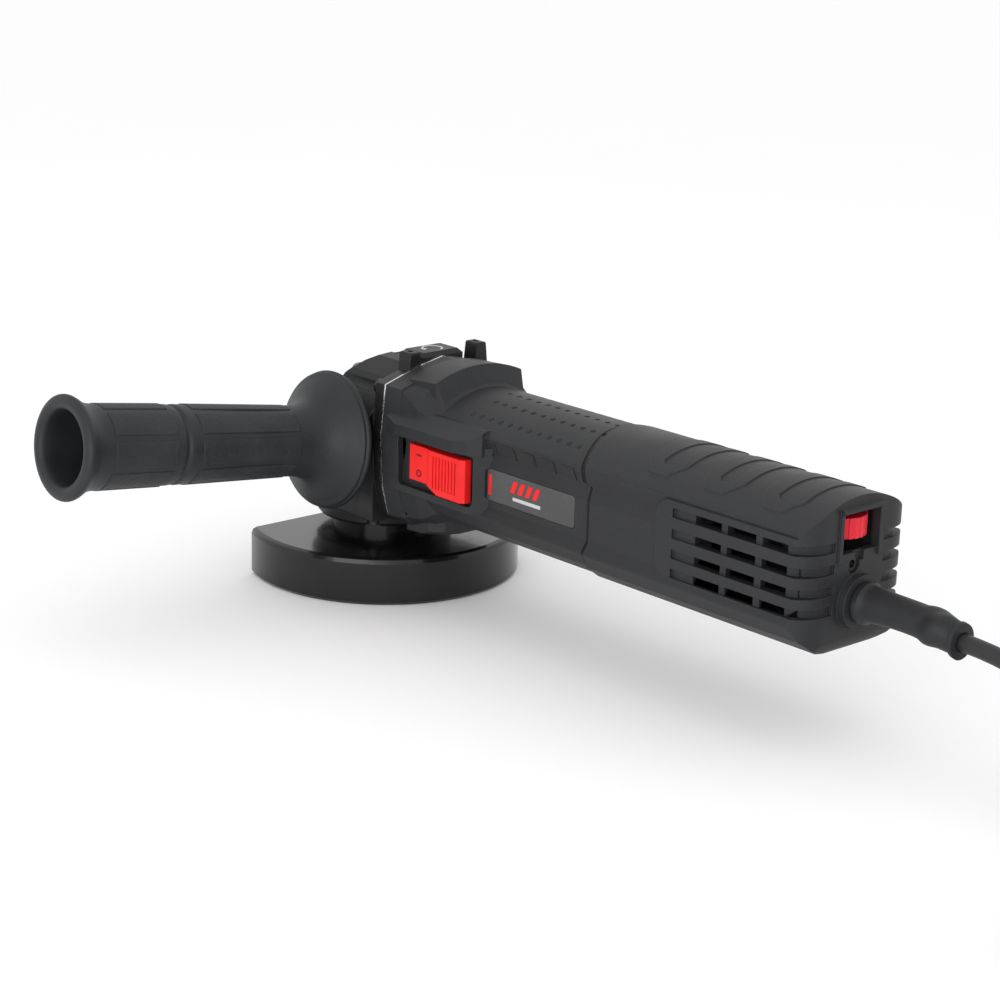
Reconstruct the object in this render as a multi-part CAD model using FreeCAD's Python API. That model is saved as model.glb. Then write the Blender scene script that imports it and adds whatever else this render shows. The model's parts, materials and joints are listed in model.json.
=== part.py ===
import FreeCAD, Part
import math
import os

# Corded angle grinder for 115 mm discs. Millimetres, +Z up.
# +X runs from the spindle to the tail, -Y is the side handle and switch side.
# The origin is the tip of the spindle, on the spindle axis.

V = FreeCAD.Vector
X, Y, Z = V(1, 0, 0), V(0, 1, 0), V(0, 0, 1)
O = V(0, 0, 0)

# --- Driving dimensions -------------------------------------------------------
FLOOR_Z = -2.5                 # the guard's rim, which the tool rests on
MOTOR_Z = 67.5                 # height of the armature axis
JOINT_X = 40.0                 # where the motor housing starts
PLATE_T = 0.8                  # rim of the bearing plate between head and housing
SEAM_X = 164.3                 # housing to rear cover, at the side ridge
SEAM_CROWN_X = 153.3           # the same seam at the top of the back
TAIL_X = 281.0                 # rear face
GAP = 0.3                      # clearance between parts that move
RUN = 0.05                     # radial clearance of a running fit

GUARD_R = 62.5
GUARD_PLATE_Z = 19.0           # top of the guard's plate
GUARD_T = 1.6
GUARD_CHORD_X = -24.2          # the straight front edge of the plate

SPIGOT_R = 20.8                # the guard's collar turns on this
BEARING_COVER_Z = 24.2
COVER_SCREW_Z = 27.4           # where the bearing cover's screw heads seat
CASE_Z = 31.5                  # bottom of the gear case

SPINDLE_R = 7.0                # M14
FREE_END = 4.2                 # what stands out below the flange nut
NUT_R = 6.35                   # the thread's pitch radius, under the nut
SHAFT_R = 4.0
BUSH_R = 6.0

WHEEL_TEETH = 36
PINION_TEETH = 12
WHEEL_R = 21.0                 # pitch radius at the big end
FACE_IN = 0.74                 # small end of a tooth, as a share of the big end
LOCK_HOLES = 6
LOCK_R = 11.5                  # circle of the lock holes

HANDLE_BASE = V(10.4, -40.2, 65.2)   # centre of the side handle's flange face
HANDLE_DIR = V(0, -1, 0.129)         # it leans up a little
M8_CORE_R = 3.3

DIAL_CENTRE = V(269.8, 0, 83.5)
DIAL_R = 10.8

CORD_R = 3.5
BOOT_R = 6.6
BOOT_X = TAIL_X                # where the boot leaves the rear face
BOOT_Z = 55.2
BOOT_END = V(331, 0, 52.8)
COIL_CENTRE = V(400, 47.5, 0)
COIL_TURN_RADII = (30, 37, 44, 51)   # lower layer, the upper lies in its valleys
LAYER_PITCH = 6.1


# --- Small helpers --------------------------------------------------------------
def box(x0, x1, y0, y1, z0, z1):
    return Part.makeBox(x1 - x0, y1 - y0, z1 - z0, V(x0, y0, z0))


def cyl(radius, start, direction, length):
    return Part.makeCylinder(radius, length, start, direction)


def ring(outer, inner, start, direction, length):
    return cyl(outer, start, direction, length).cut(cyl(inner, start, direction, length))


def polygon(points):
    return Part.makePolygon(list(points) + [points[0]])


def prism(points, direction, length):
    """A closed outline of points, pushed along direction."""
    return Part.Face(polygon(points)).extrude(direction * length)


def turned(profile, origin=O, axis=Z):
    """A solid turned from (radius, height) pairs about an axis through origin."""
    side = X if abs(axis.dot(X)) < 0.9 else Z
    side = (side - axis * side.dot(axis)).normalize()
    points = [origin + side * r + axis * h for r, h in profile]
    return Part.Face(polygon(points)).revolve(origin, axis, 360)


def fuse(shapes):
    first, rest = shapes[0], list(shapes[1:])
    return first.fuse(rest).removeSplitter() if rest else first


def cut(shape, tools):
    return shape.cut(list(tools))


def group(solids):
    return Part.makeCompound(list(solids))


def mirrored(shape):
    """The same shape on the other side of the tool."""
    return shape.mirror(O, Y)


def both_sides(shape):
    return [shape, mirrored(shape)]


def along(shape, direction):
    """The straight edges of a shape that run along direction."""
    found = []
    for edge in shape.Edges:
        if not isinstance(edge.Curve, Part.Line):
            continue
        if abs(edge.tangentAt(edge.FirstParameter).dot(direction)) > 0.999:
            found.append(edge)
    return found


def rounded(shape, radius, direction):
    """The shape with its edges along direction rounded."""
    return shape.makeFillet(radius, along(shape, direction))


def save(name, shape):
    solids = shape.Solids
    bad = [s for s in solids if not s.isValid() or s.Volume <= 0]
    if bad or not solids:
        raise ValueError(name + " has no solid, or a bad one")
    out = solids[0] if len(solids) == 1 else Part.makeCompound(solids)
    out.exportStep("parts/" + name + ".step")


# --- The moulded body's cross-section ----------------------------------------------
class Section:
    """The barrel's outline in the YZ plane: a round back over stepped sides."""

    def __init__(self, side, arc_radius):
        self.side = side
        self.arc_radius = arc_radius
        ridge_y, ridge_z = side[0]
        drop = math.sqrt(arc_radius ** 2 - ridge_y ** 2)
        self.crown_z = ridge_z - drop + arc_radius

    def solid(self, x0, x1, share=1.0):
        """The outline from x0 to x1, drawn in towards its middle by share."""
        middle = V(x0, 0, 66)

        def place(y, z):
            return V(x0, y * share, middle.z + (z - middle.z) * share)

        left = [place(-y, z) for y, z in self.side]
        right = [place(y, z) for y, z in reversed(self.side)]
        back = Part.Arc(right[-1], place(0, self.crown_z), left[0]).toShape()
        loop = left + right
        edges = [Part.makeLine(a, b) for a, b in zip(loop, loop[1:])]
        face = Part.Face(Part.Wire(edges + [back]))
        body = face.extrude(X * (x1 - x0))
        return rounded(body, 1.6 * share, X)


FRONT = Section([(28.7, 84.0), (25.6, 76.6), (27.3, 70.5), (27.2, 54.0),
                 (30.2, 49.5), (26.6, 43.4), (20.0, 38.6), (9.0, 35.7)], 42.3)
REAR = Section([(29.5, 84.5), (26.4, 77.0), (28.3, 71.0), (28.2, 54.0),
                (31.2, 49.5), (27.4, 43.0), (20.6, 38.0), (9.0, 35.1)], 42.7)

FLANGE = [(0, 103.5), (13, 100.8), (24.3, 97.4), (32.1, 94.9), (34.8, 71.3),
          (33.3, 49.8), (29.9, 35.9), (24, 31.5), (0, 29.5)]
COLLAR = [(0, 100.5), (13, 99.5), (24, 96.0), (31.0, 88.0), (31.6, 71.3),
          (31.6, 49.8), (27.5, 38.0), (20, 34.5), (0, 33.0)]
BARREL = [(0, 95.2), (11, 93.7), (21, 89.6), (28.4, 83.0), (26.6, 71.3),
          (28.6, 50.5), (25.6, 43.4), (19.4, 38.8), (0, 35.9)]


def ring_of(half, x, share=1.0):
    """A whole outline at x from its right half, mirrored about the middle plane."""
    right = [V(x, y * share, 66 + (z - 66) * share) for y, z in half]
    left = [V(x, -p.y, p.z) for p in reversed(right[1:-1])]
    return polygon(right + left)


def loft(rings):
    return Part.makeLoft(rings, True, True)


# --- Housings ---------------------------------------------------------------------
def seam_prism(x_far):
    """Everything in front of the raked seam above the ridge, as a plan outline."""
    low, high = 77.0, 130.0
    half = 34.0
    side = V(SEAM_X, -half, low)
    crown = V(SEAM_CROWN_X, 0, low)
    quarter = V(SEAM_X - 4.2, -half / 2, low)
    left = Part.Arc(side, quarter, crown).toShape()
    right = Part.Arc(crown, V(quarter.x, half / 2, low), V(SEAM_X, half, low)).toShape()
    corners = [V(SEAM_X, half, low), V(x_far, half, low), V(x_far, -half, low), side]
    lines = [Part.makeLine(a, b) for a, b in zip(corners, corners[1:])]
    return Part.Face(Part.Wire([left, right] + lines)).extrude(Z * (high - low))


def visor_outline(x, half, side_z, crown_z):
    """An arched outline across the tool at x, open down to the barrel."""
    low = 84.0
    arch = Part.Arc(V(x, -half, side_z), V(x, 0, crown_z), V(x, half, side_z)).toShape()
    corners = [V(x, half, side_z), V(x, half, low), V(x, -half, low), V(x, -half, side_z)]
    return Part.Wire([arch] + [Part.makeLine(a, b) for a, b in zip(corners, corners[1:])])


def visor():
    """The crescent that stands over the front of the barrel's back."""
    stations = [(47.0, 24.5, 97.8, 103.3), (64.5, 24.5, 99.0, 104.3), (68.5, 22.8, 89.6, 95.5)]
    front, edge, foot = [visor_outline(*station) for station in stations]
    return fuse([Part.makeLoft([front, edge], True, True), Part.makeLoft([edge, foot], True, True)])


def chin():
    """The rounded lower end of the collar, under the barrel."""
    plan = [(46, -24), (58, -22), (64, -17), (66.5, -10), (66.5, 10), (64, 17), (58, 22), (46, 24)]
    block = prism([V(x, y, 29.4) for x, y in plan], Z, 10)
    lower = [e for e in block.Edges if e.BoundBox.ZMax < 29.5 and e.BoundBox.XMin > 46.5]
    return block.makeChamfer(1.5, lower)


def switch_bulge():
    """The raised bed of the slide switch and its hood, on the -Y side."""
    bed = prism([V(46, -24, 50), V(46, -33.4, 50), V(98, -33.0, 50), V(104, -26, 50)], Z, 29)
    plan = [(44, -22), (44, -34.6), (52, -37.0), (90, -36.8), (97, -34.6), (101.5, -30), (103, -22)]
    hood = prism([V(x, y, 75.5) for x, y in plan], Z, 11.0)
    slope = prism([V(40, -40, 79.2), V(40, -20, 91.5), V(40, -40, 91.5)], X, 70)
    return fuse([bed, hood.cut(slope)])


def knob_recess():
    recess = rounded(box(50.5, 98.6, -40, -30.2, 53.2, 76.0), 2.0, Y)
    stem_slot = box(62.0, 92.0, -31, -20, 62.0, 70.0)
    return [recess, stem_slot]


def dimples():
    """Five rows of small round dimples over the barrel's back."""
    found = []
    rows, columns, pitch = 5, 12, 6.0
    arc_z = FRONT.crown_z - FRONT.arc_radius
    for row in range(rows):
        angle = math.radians((row - (rows - 1) / 2) * 15.0)
        for column in range(columns):
            x = 85.0 + pitch * column + (pitch / 2 if row % 2 else 0)
            place = V(x, 0, arc_z) + V(0, math.sin(angle), math.cos(angle)) * (FRONT.arc_radius + 0.7)
            found.append(Part.makeSphere(1.5, place))
    return found


def label_recess(depth=0.7):
    return rounded(box(102, 156, -40, -27.2 + depth, 57.0, 71.0), 2.0, Y)


def motor_housing():
    flange = ring_of(FLANGE, JOINT_X)
    band = loft([flange, ring_of(FLANGE, 50, 0.985)])
    collar = loft([ring_of(FLANGE, 50, 0.97), ring_of(COLLAR, 60), ring_of(BARREL, 70.5)])
    barrel = FRONT.solid(56, SEAM_X)
    shell = fuse([band, collar, barrel, visor(), chin(), switch_bulge()])
    shell = cut(shell, [seam_prism(SEAM_X + 20)])
    inner = loft([ring_of(FLANGE, JOINT_X - 1, 0.90), ring_of(FLANGE, 51, 0.88),
                  ring_of(BARREL, 64, 0.915)])
    bore = FRONT.solid(60, SEAM_X + 1, 0.915)
    shell = cut(shell, [inner, bore])
    shell = cut(shell, knob_recess() + [label_recess(), mirrored(label_recess())])
    shell = cut(shell, dimples())
    holes = [cyl(1.7, V(JOINT_X - 1, y, z), X, 13) for y, z in CASE_SCREWS]
    save("motor_housing", cut(shell, holes))


def label_plates():
    plate = rounded(box(102.2, 155.8, -27.3, -26.5, 57.2, 70.8), 1.8, Y)
    save("label_plates", group(both_sides(plate)))


def plan_outline(x0, x1, half, corner, z):
    """A plan view with two round rear corners."""
    k = corner * (1 - math.sqrt(0.5))
    a, b = V(x1 - corner, -half, z), V(x1, -half + corner, z)
    c, d = V(x1, half - corner, z), V(x1 - corner, half, z)
    arcs = [Part.Arc(a, V(x1 - k, -half + k, z), b).toShape(),
            Part.Arc(c, V(x1 - k, half - k, z), d).toShape()]
    lines = [Part.makeLine(V(x0, -half, z), a), Part.makeLine(b, c),
             Part.makeLine(d, V(x0, half, z)), Part.makeLine(V(x0, half, z), V(x0, -half, z))]
    return Part.Wire([lines[0], arcs[0], lines[1], arcs[1], lines[2], lines[3]])


def tail_block(inset=0.0, x0=120.0):
    """The space the rear cover may fill: rounded in plan, and under its tail."""
    wire = plan_outline(x0, TAIL_X - inset, 33.0 - inset, 15.0 - inset, 0)
    plan = Part.Face(wire).extrude(Z * 120)
    heel = 6.5 - min(inset, 3.0)
    low = REAR.side[-1][1] + inset
    k = heel * (1 - math.sqrt(0.5))
    a, b = V(TAIL_X - inset - heel, -50, low), V(TAIL_X - inset, -50, low + heel)
    arc = Part.Arc(a, V(TAIL_X - inset - k, -50, low + k), b).toShape()
    top, front = V(TAIL_X - inset, -50, 120), V(x0, -50, 120)
    corners = [b, top, front, V(x0, -50, low - 3), V(a.x - 40, -50, low - 3), a]
    lines = [Part.makeLine(p, q) for p, q in zip(corners, corners[1:])]
    side = Part.Face(Part.Wire([arc] + lines)).extrude(Y * 100)
    return plan.common(side)


VENT_ROWS = (78.3, 69.9, 61.7, 53.9)
VENT_H = 3.8
VENT_SLOTS = ((224.0, 237.6), (240.6, 255.1), (258.3, 270.5))


def vent_grooves():
    """Four shallow grooves that start on each side and wrap on to the rear face."""
    outer = Part.Face(plan_outline(212.8, TAIL_X + 2, 36.0, 15.0, 0))
    inner = Part.Face(plan_outline(200.0, TAIL_X - 1.2, 28.6, 13.0, 0))
    band = outer.cut(inner)
    middle = box(TAIL_X - 6, TAIL_X + 3, -13.6, 13.6, 0, 100)
    tools = []
    for z in VENT_ROWS:
        rim = band.extrude(Z * VENT_H)
        rim.translate(V(0, 0, z - VENT_H / 2))
        tools.append(rim.cut(middle))
    return tools


def vent_slots():
    tools = []
    for z in VENT_ROWS:
        for x0, x1 in VENT_SLOTS:
            tools.append(box(x0, x1, -40, 40, z - VENT_H / 2, z + VENT_H / 2))
    return tools


def vent_panel():
    """The flat raised panel that carries the vents, on both sides."""
    half = 29.9
    block = box(204.0, TAIL_X, -half, half, 51.0, 83.0)
    return block.makeFillet(7.0, [e for e in along(block, Y) if e.BoundBox.XMax < 210])


def back_loops():
    """Three raised angular loops across the back, each with a chevron inside."""
    arc_z = REAR.crown_z - REAR.arc_radius
    skin = ring(REAR.arc_radius + 0.45, REAR.arc_radius - 1.0, V(170, 0, arc_z), X, 105)
    pieces = []
    for start in (188.0, 218.0, 248.0):
        half, width = 24.0, 20.0
        outline = [V(start, -half + 6, 60), V(start + 5, -half, 60), V(start + 14, -half, 60),
                   V(start + width, -half + 7, 60), V(start + width, half - 7, 60),
                   V(start + 14, half, 60), V(start + 5, half, 60), V(start, half - 6, 60)]
        inner = [V(start + 7, -half + 7, 60), V(start + 9, -half + 5, 60),
                 V(start + 12.5, -half + 5, 60), V(start + 14.5, -half + 8, 60),
                 V(start + 14.5, half - 8, 60), V(start + 12.5, half - 5, 60),
                 V(start + 9, half - 5, 60), V(start + 7, half - 7, 60)]
        loop = prism(outline, Z, 60).cut(prism(inner, Z, 60))
        pieces.append(loop.common(skin))
    return pieces


def rear_window():
    """The opening for the speed dial, with the screw hole below it."""
    window = box(TAIL_X - 5, TAIL_X + 2, -10.6, 10.0, 74.6, 90.2)
    screw = cyl(3.5, V(TAIL_X - 6, -2.8, 69.8), X, 10)
    key = box(TAIL_X - 1.6, TAIL_X + 2, -2.6, 2.6, 71.0, 74.6)
    return [window, screw, key]


def dial_pocket():
    """Walls behind and beside the speed dial."""
    back = box(256.2, 257.7, -14.2, 14.2, 66, 100)
    sides = [box(256.2, TAIL_X - 2, y, y + 1.4, 66, 100) for y in (-14.2, 12.8)]
    return fuse([back] + sides).common(REAR.solid(250, TAIL_X, 0.94))


def window_frame():
    """A raised lip over the window and a bar down each side."""
    bars = [box(TAIL_X - 1, TAIL_X + 0.9, y, y + 1.5, 71.5, 91.0) for y in (-12.1, 10.0)]
    lip = prism([V(TAIL_X - 1, -12.1, 90.2), V(TAIL_X + 0.9, -12.1, 90.2), V(TAIL_X + 2.2, -12.1, 91.0),
                 V(TAIL_X + 2.2, -12.1, 92.0), V(TAIL_X - 1, -12.1, 93.4)], Y, 23.6)
    return bars + [lip]


def rear_cover():
    tail = tail_block()
    barrel = REAR.solid(SEAM_X, TAIL_X).common(tail)
    crown = REAR.solid(SEAM_CROWN_X - 3, SEAM_X).common(seam_prism(SEAM_X + 20))
    panel = vent_panel().common(tail)
    collar = cyl(10.8, V(TAIL_X - 9, -0.3, BOOT_Z), X, 12.5)
    shell = fuse([barrel, crown, panel, collar] + window_frame())
    inner = REAR.solid(SEAM_CROWN_X - 4, TAIL_X - 3.2, 0.915).common(tail_block(3.2))
    shell = cut(shell, [inner])
    shell = cut(shell, vent_grooves())
    shell = cut(shell, vent_slots() + rear_window())
    shell = cut(shell, [cyl(BOOT_R + 0.15, V(TAIL_X - 14, 0, BOOT_Z), X, 20)])
    shell = fuse([shell, dial_pocket()] + back_loops())
    save("rear_cover", shell)


# --- Head -------------------------------------------------------------------------
CASE_SCREWS = [(-26.0, 91.0), (26.0, 91.0), (-27.6, 39.0), (27.6, 39.0)]
SCREW_HEAD_X = 31.0            # their heads sit in channels along the head's corners
GEAR_ROOM_R = 23.2
LOCK_BUTTON_X = -LOCK_R - 3.2


def case_side_view():
    """The head's side view, from the joint over the hump and down the nose."""
    front = [(39.2, 103.5), (24, 103.5), (11, 101.0), (4, 97.0), (-2.5, 90.0), (-6.5, 84.0), (-12, 79.5),
             (-27, 76.0), (-33, 69), (-33, 40), (-30, CASE_Z), (39.2, CASE_Z)]
    return prism([V(x, -50, z) for x, z in front], Y, 100)


def case_plan_view():
    """The head's plan: a round nose that widens to the joint."""
    nose = cyl(33.0, V(0, 0, 20), Z, 100)
    waist = [V(-6, -32.4, 20), V(24, -33.4, 20), V(39.2, -34.6, 20),
             V(39.2, 34.6, 20), V(24, 33.4, 20), V(-6, 32.4, 20)]
    return fuse([nose, prism(waist, Z, 100)])


def case_front_view(x, shoulder):
    """The head's outline across the tool at x, from one side over the top to the other."""
    half = [(0, 103.6 - 0.3 * shoulder), (11, 102.0 - 0.35 * shoulder), (20, 98.6 - 0.7 * shoulder),
            (27, 95.6 - 1.3 * shoulder), (34.8, 88.0 - 1.6 * shoulder), (34.8, 31.0), (0, 29.0)]
    right = [V(x, y, z) for y, z in half]
    left = [V(x, -p.y, p.z) for p in reversed(right[1:-1])]
    return polygon(right + left)


def handle_boss():
    """The round boss that the side handle screws into, on the -Y side."""
    axis = V(HANDLE_DIR).normalize()
    return cyl(12.0, HANDLE_BASE - axis * 14, axis, 14 - 2.2)


def handle_hole():
    axis = V(HANDLE_DIR).normalize()
    return cyl(M8_CORE_R, HANDLE_BASE - axis * 16, axis, 18)


def top_lug(y):
    """One of the two upright lugs at the back of the head."""
    outline = [V(31.4, y - 4, 94), V(31.4, y + 4, 94), V(31.4, y + 2.6, 106.6), V(31.4, y - 2.6, 106.6)]
    lug = prism(outline, X, 7.8)
    top = [e for e in lug.Edges if e.BoundBox.ZMin > 106]
    lug = lug.makeFillet(0.9, top)
    return lug.cut(box(33.6, 37.0, y - 1.0, y + 1.0, 103.4, 108))


def gear_case():
    rim = loft([ring_of(FLANGE, 33.0, 0.99), ring_of(FLANGE, 39.2, 1.0)])
    dome = loft([case_front_view(-34, 7.0), case_front_view(30.0, 7.0), case_front_view(34.0, 4.0)])
    side_view = case_side_view().common(case_plan_view())
    body = fuse([side_view.common(dome), rim.common(side_view)])
    cover = box(21.5, 37, -9, 14, 94, 104.8)
    top_edges = [e for e in cover.Edges if e.BoundBox.ZMin > 104]
    cover = cover.makeChamfer(1.8, top_edges)
    top_lugs = [top_lug(y) for y in (-15, 23)]
    lock_guide = cyl(8.2, V(LOCK_BUTTON_X, 0, 74), Z, 10.5)
    body = fuse([body, cover, lock_guide] + top_lugs + both_sides(handle_boss()))
    gear_room = cyl(GEAR_ROOM_R, V(0, 0, 36), Z, 39)
    neck = cyl(14.3, V(10, 0, MOTOR_Z), X, 31)
    seat = cyl(16.0, V(0, 0, 31), Z, 2.1)
    throat = cyl(14.0, V(0, 0, 33), Z, 4)
    bush_hole = cyl(BUSH_R, V(0, 0, 75), Z, 8)
    lock_room = cyl(6.6, V(LOCK_BUTTON_X, 0, 78.0), Z, 9)
    lock_hole = cyl(2.4 + RUN, V(-LOCK_R, 0, 75), Z, 12)
    m8 = both_sides(handle_hole())
    m8 += [cyl(M8_CORE_R, V(14, 0, 86), Z, 25), cyl(6.0, V(14, 0, 99), Z, 8)]
    screws = [cyl(1.7, V(29, y, z), X, 12) for y, z in CASE_SCREWS]
    screws += [cyl(3.8, V(-40, y, z), X, 40 + SCREW_HEAD_X) for y, z in CASE_SCREWS]
    screws += [cyl(1.7, V(x, y, CASE_Z - 1), Z, 9) for x, y in cover_screw_places()]
    tools = [gear_room, neck, seat, throat, bush_hole, lock_room, lock_hole] + m8 + screws
    save("gear_case", cut(body, tools))


def cover_screw_places():
    return [(sx * 18.5, sy * 20.5) for sx in (-1, 1) for sy in (-1, 1)]


def bearing_plate():
    rim = prism([V(39.2, y, z) for y, z in whole_flange()], X, PLATE_T)
    hub = cyl(14.0, V(28.5, 0, MOTOR_Z), X, 10.7)
    tools = [cyl(11.0, V(28, 0, MOTOR_Z), X, 8.0), cyl(5.5, V(28, 0, MOTOR_Z), X, 20)]
    tools += [cyl(2.0, V(39, y, z), X, 2) for y, z in CASE_SCREWS]
    save("bearing_plate", cut(fuse([rim, hub]), tools))


def whole_flange():
    left = [(-y, z) for y, z in reversed(FLANGE[1:-1])]
    return FLANGE + left


def screw_with_head(place, axis, head_r, head_h, shank_r, length):
    """A socket-head screw whose head rests at place and whose shank runs along axis."""
    head = cyl(head_r, place - axis * head_h, axis, head_h)
    socket = cyl(head_r * 0.5, place - axis * head_h, axis, head_h * 0.55)
    return fuse([head.cut(socket), cyl(shank_r, place, axis, length)])


def bearing_cover():
    profile = [(9.0, 19.4), (SPIGOT_R, 19.4), (SPIGOT_R, BEARING_COVER_Z), (29.5, BEARING_COVER_Z),
               (30.5, BEARING_COVER_Z + 1.2), (30.5, CASE_Z), (16.0, CASE_Z), (16.0, 23.0), (9.0, 23.0)]
    cover = turned(profile)
    tools = [cyl(2.0, V(x, y, 20), Z, 15) for x, y in cover_screw_places()]
    tools += [cyl(3.8, V(x, y, 20), Z, COVER_SCREW_Z - 20) for x, y in cover_screw_places()]
    save("bearing_cover", cut(cover, tools))
    places = [V(x, y, COVER_SCREW_Z) for x, y in cover_screw_places()]
    save("bearing_cover_screws", group([screw_with_head(p, Z, 3.4, 2.6, 1.6, 11.0) for p in places]))


def gear_case_screws():
    found = [screw_with_head(V(SCREW_HEAD_X, y, z), X, 3.4, 3.0, 1.6, 20) for y, z in CASE_SCREWS]
    save("gear_case_screws", group(found))


# --- Bearings ------------------------------------------------------------------------
def ball_bearing(name, centre, axis, bore_r, outer_r, width, rows):
    """An outer ring in one node; the inner ring and its balls in another."""
    start = centre - axis * (width / 2)
    pitch_r = (bore_r + outer_r) / 2
    ball = rows["ball"]
    groove = Part.makeTorus(pitch_r, ball + 0.1, centre, axis)
    outer = ring(outer_r, pitch_r + ball * 0.45, start, axis, width).cut(groove)
    inner = ring(pitch_r - ball * 0.45, bore_r, start, axis, width).cut(
        Part.makeTorus(pitch_r, ball, centre, axis))
    side = X if abs(axis.dot(X)) < 0.9 else Y
    up = axis.cross(side)
    balls = []
    for i in range(rows["count"]):
        a = 2 * math.pi * i / rows["count"]
        spot = centre + side * (pitch_r * math.cos(a)) + up * (pitch_r * math.sin(a))
        balls.append(Part.makeSphere(ball, spot))
    save(name + "_outer", outer)
    save(name + "_inner", group([inner] + balls))


# --- Bevel gears ------------------------------------------------------------------------
def toward_apex(points, share):
    """The same tooth outline nearer the point where the two axes cross."""
    apex = V(0, 0, MOTOR_Z)
    return [apex + (p - apex) * share for p in points]


def wheel_tooth(angle):
    """A straight tooth of the crown gear: a trapezoid that shrinks to the apex."""
    pitch = 2 * math.pi * WHEEL_R / WHEEL_TEETH
    thick = pitch * 0.385
    slope = math.tan(math.radians(21))
    top, root = 0.90, 1.75
    pitch_z = MOTOR_Z - WHEEL_R * PINION_TEETH / WHEEL_TEETH
    corners = [(-thick / 2 - root * slope, -root), (thick / 2 + root * slope, -root),
               (thick / 2 - top * slope, top), (-thick / 2 + top * slope, top)]
    points = [V(WHEEL_R, y, pitch_z + z) for y, z in corners]
    tooth = loft([polygon(points), polygon(toward_apex(points, FACE_IN))])
    tooth.rotate(O, Z, math.degrees(angle))
    return tooth


def crown_gear():
    blank = turned([(6.6, 49.5), (18.5, 49.5), (21.0, 52.5), (21.0, 59.1), (15.4, 61.2),
                    (14.9, 60.4), (14.9, 57.0), (6.6, 57.0)])
    teeth = [wheel_tooth(2 * math.pi * i / WHEEL_TEETH) for i in range(WHEEL_TEETH)]
    gear = fuse([blank] + teeth)
    holes = []
    for i in range(LOCK_HOLES):
        a = math.pi + 2 * math.pi * i / LOCK_HOLES
        holes.append(cyl(2.8, V(LOCK_R * math.cos(a), LOCK_R * math.sin(a), 51.5), Z, 6))
    save("crown_gear", cut(gear, holes))


def pinion_tooth(angle):
    """A tooth of the drive pinion, centred on a gap of the crown gear at rest."""
    pitch_r = WHEEL_R * PINION_TEETH / WHEEL_TEETH
    flank = [(-1.48, 0.215), (-0.70, 0.185), (0.0, 0.150), (0.50, 0.112), (0.88, 0.072)]
    outline = [(pitch_r + h, -a) for h, a in flank] + [(pitch_r + h, a) for h, a in reversed(flank)]
    points = [V(WHEEL_R, -r * math.sin(a), MOTOR_Z - r * math.cos(a)) for r, a in outline]
    tooth = loft([polygon(points), polygon(toward_apex(points, FACE_IN))])
    tooth.rotate(V(0, 0, MOTOR_Z), X, math.degrees(angle))
    return tooth


def drive_pinion():
    step = 2 * math.pi / PINION_TEETH
    core = turned([(SHAFT_R, 15.55), (4.3, 15.55), (5.6, WHEEL_R), (6.0, WHEEL_R + 0.6),
                   (6.0, 27.0), (SHAFT_R, 27.0)], V(0, 0, MOTOR_Z), X)
    teeth = [pinion_tooth(step * (i + 0.5)) for i in range(PINION_TEETH)]
    save("drive_pinion", fuse([core] + teeth))


# --- Spindle --------------------------------------------------------------------------
def spindle():
    """The free end has the thread's outside radius; under the nut it has the pitch radius."""
    save("spindle", turned([(0, 0), (SPINDLE_R, 0), (SPINDLE_R, FREE_END), (NUT_R, FREE_END), (NUT_R, 17.6),
                            (8.4, 17.6), (8.4, 23.0), (6.0, 23.0), (6.0, 33.0), (8.6, 33.0), (8.6, 49.5),
                            (6.6, 49.5), (6.6, 58.5), (SHAFT_R, 58.5), (SHAFT_R, 81.5), (0, 81.5)]))
    bush = ring(BUSH_R, SHAFT_R + RUN, V(0, 0, 77.0), Z, 5.0)
    save("spindle_top_bush", bush)
    flange = turned([(NUT_R, 12.0), (20.5, 12.0), (20.5, 14.5), (12.5, 17.6), (NUT_R, 17.6)])
    save("inner_flange", flange.cut(turned([(11, 11.5), (19, 11.5), (19, 12.5), (11, 12.5)])))
    nut = turned([(NUT_R, FREE_END + 0.3), (20.0, FREE_END + 0.3), (20.0, 8.5), (11.0, 8.5),
                  (11.0, 11.2), (NUT_R, 11.2)])
    pins = [cyl(2.3, V(15 * math.cos(a), 15 * math.sin(a), 4.0), Z, 3.0) for a in
            (math.radians(90 * i + 45) for i in range(4))]
    save("flange_nut", cut(nut, pins))


# --- Motor ----------------------------------------------------------------------------
def armature():
    centre = V(0, 0, MOTOR_Z)
    shaft = turned([(0, 12.5), (SHAFT_R, 12.5), (SHAFT_R, 36), (5.0, 36.0), (5.0, 160.0),
                    (SHAFT_R, 160.0), (SHAFT_R, 172), (0, 172)], centre, X)
    save("armature_shaft", shaft)
    core = ring(16.0, 5.0, V(76, 0, MOTOR_Z), X, 48)
    slots = []
    for i in range(12):
        slot = box(75, 125, -1.1, 1.1, MOTOR_Z + 9.5, MOTOR_Z + 17)
        slot.rotate(centre, X, 30 * i)
        slots.append(slot)
    save("armature_core", cut(core, slots))
    front = turned([(5.0, 66), (11.5, 66), (14.5, 69), (14.5, 75.9), (5.0, 75.9)], centre, X)
    rear = turned([(5.0, 124.1), (14.5, 124.1), (14.5, 132), (11.5, 136), (5.0, 136)], centre, X)
    save("armature_windings", group([front, rear]))
    bars = ring(11.5, 5.0, V(138, 0, MOTOR_Z), X, 15)
    risers = ring(12.5, 11.5, V(138, 0, MOTOR_Z), X, 2)
    cuts = []
    for i in range(24):
        gap = box(137, 154, -0.25, 0.25, MOTOR_Z + 10.2, MOTOR_Z + 13)
        gap.rotate(centre, X, 15 * i)
        cuts.append(gap)
    save("commutator", cut(fuse([bars, risers]), cuts))
    fan()


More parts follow.
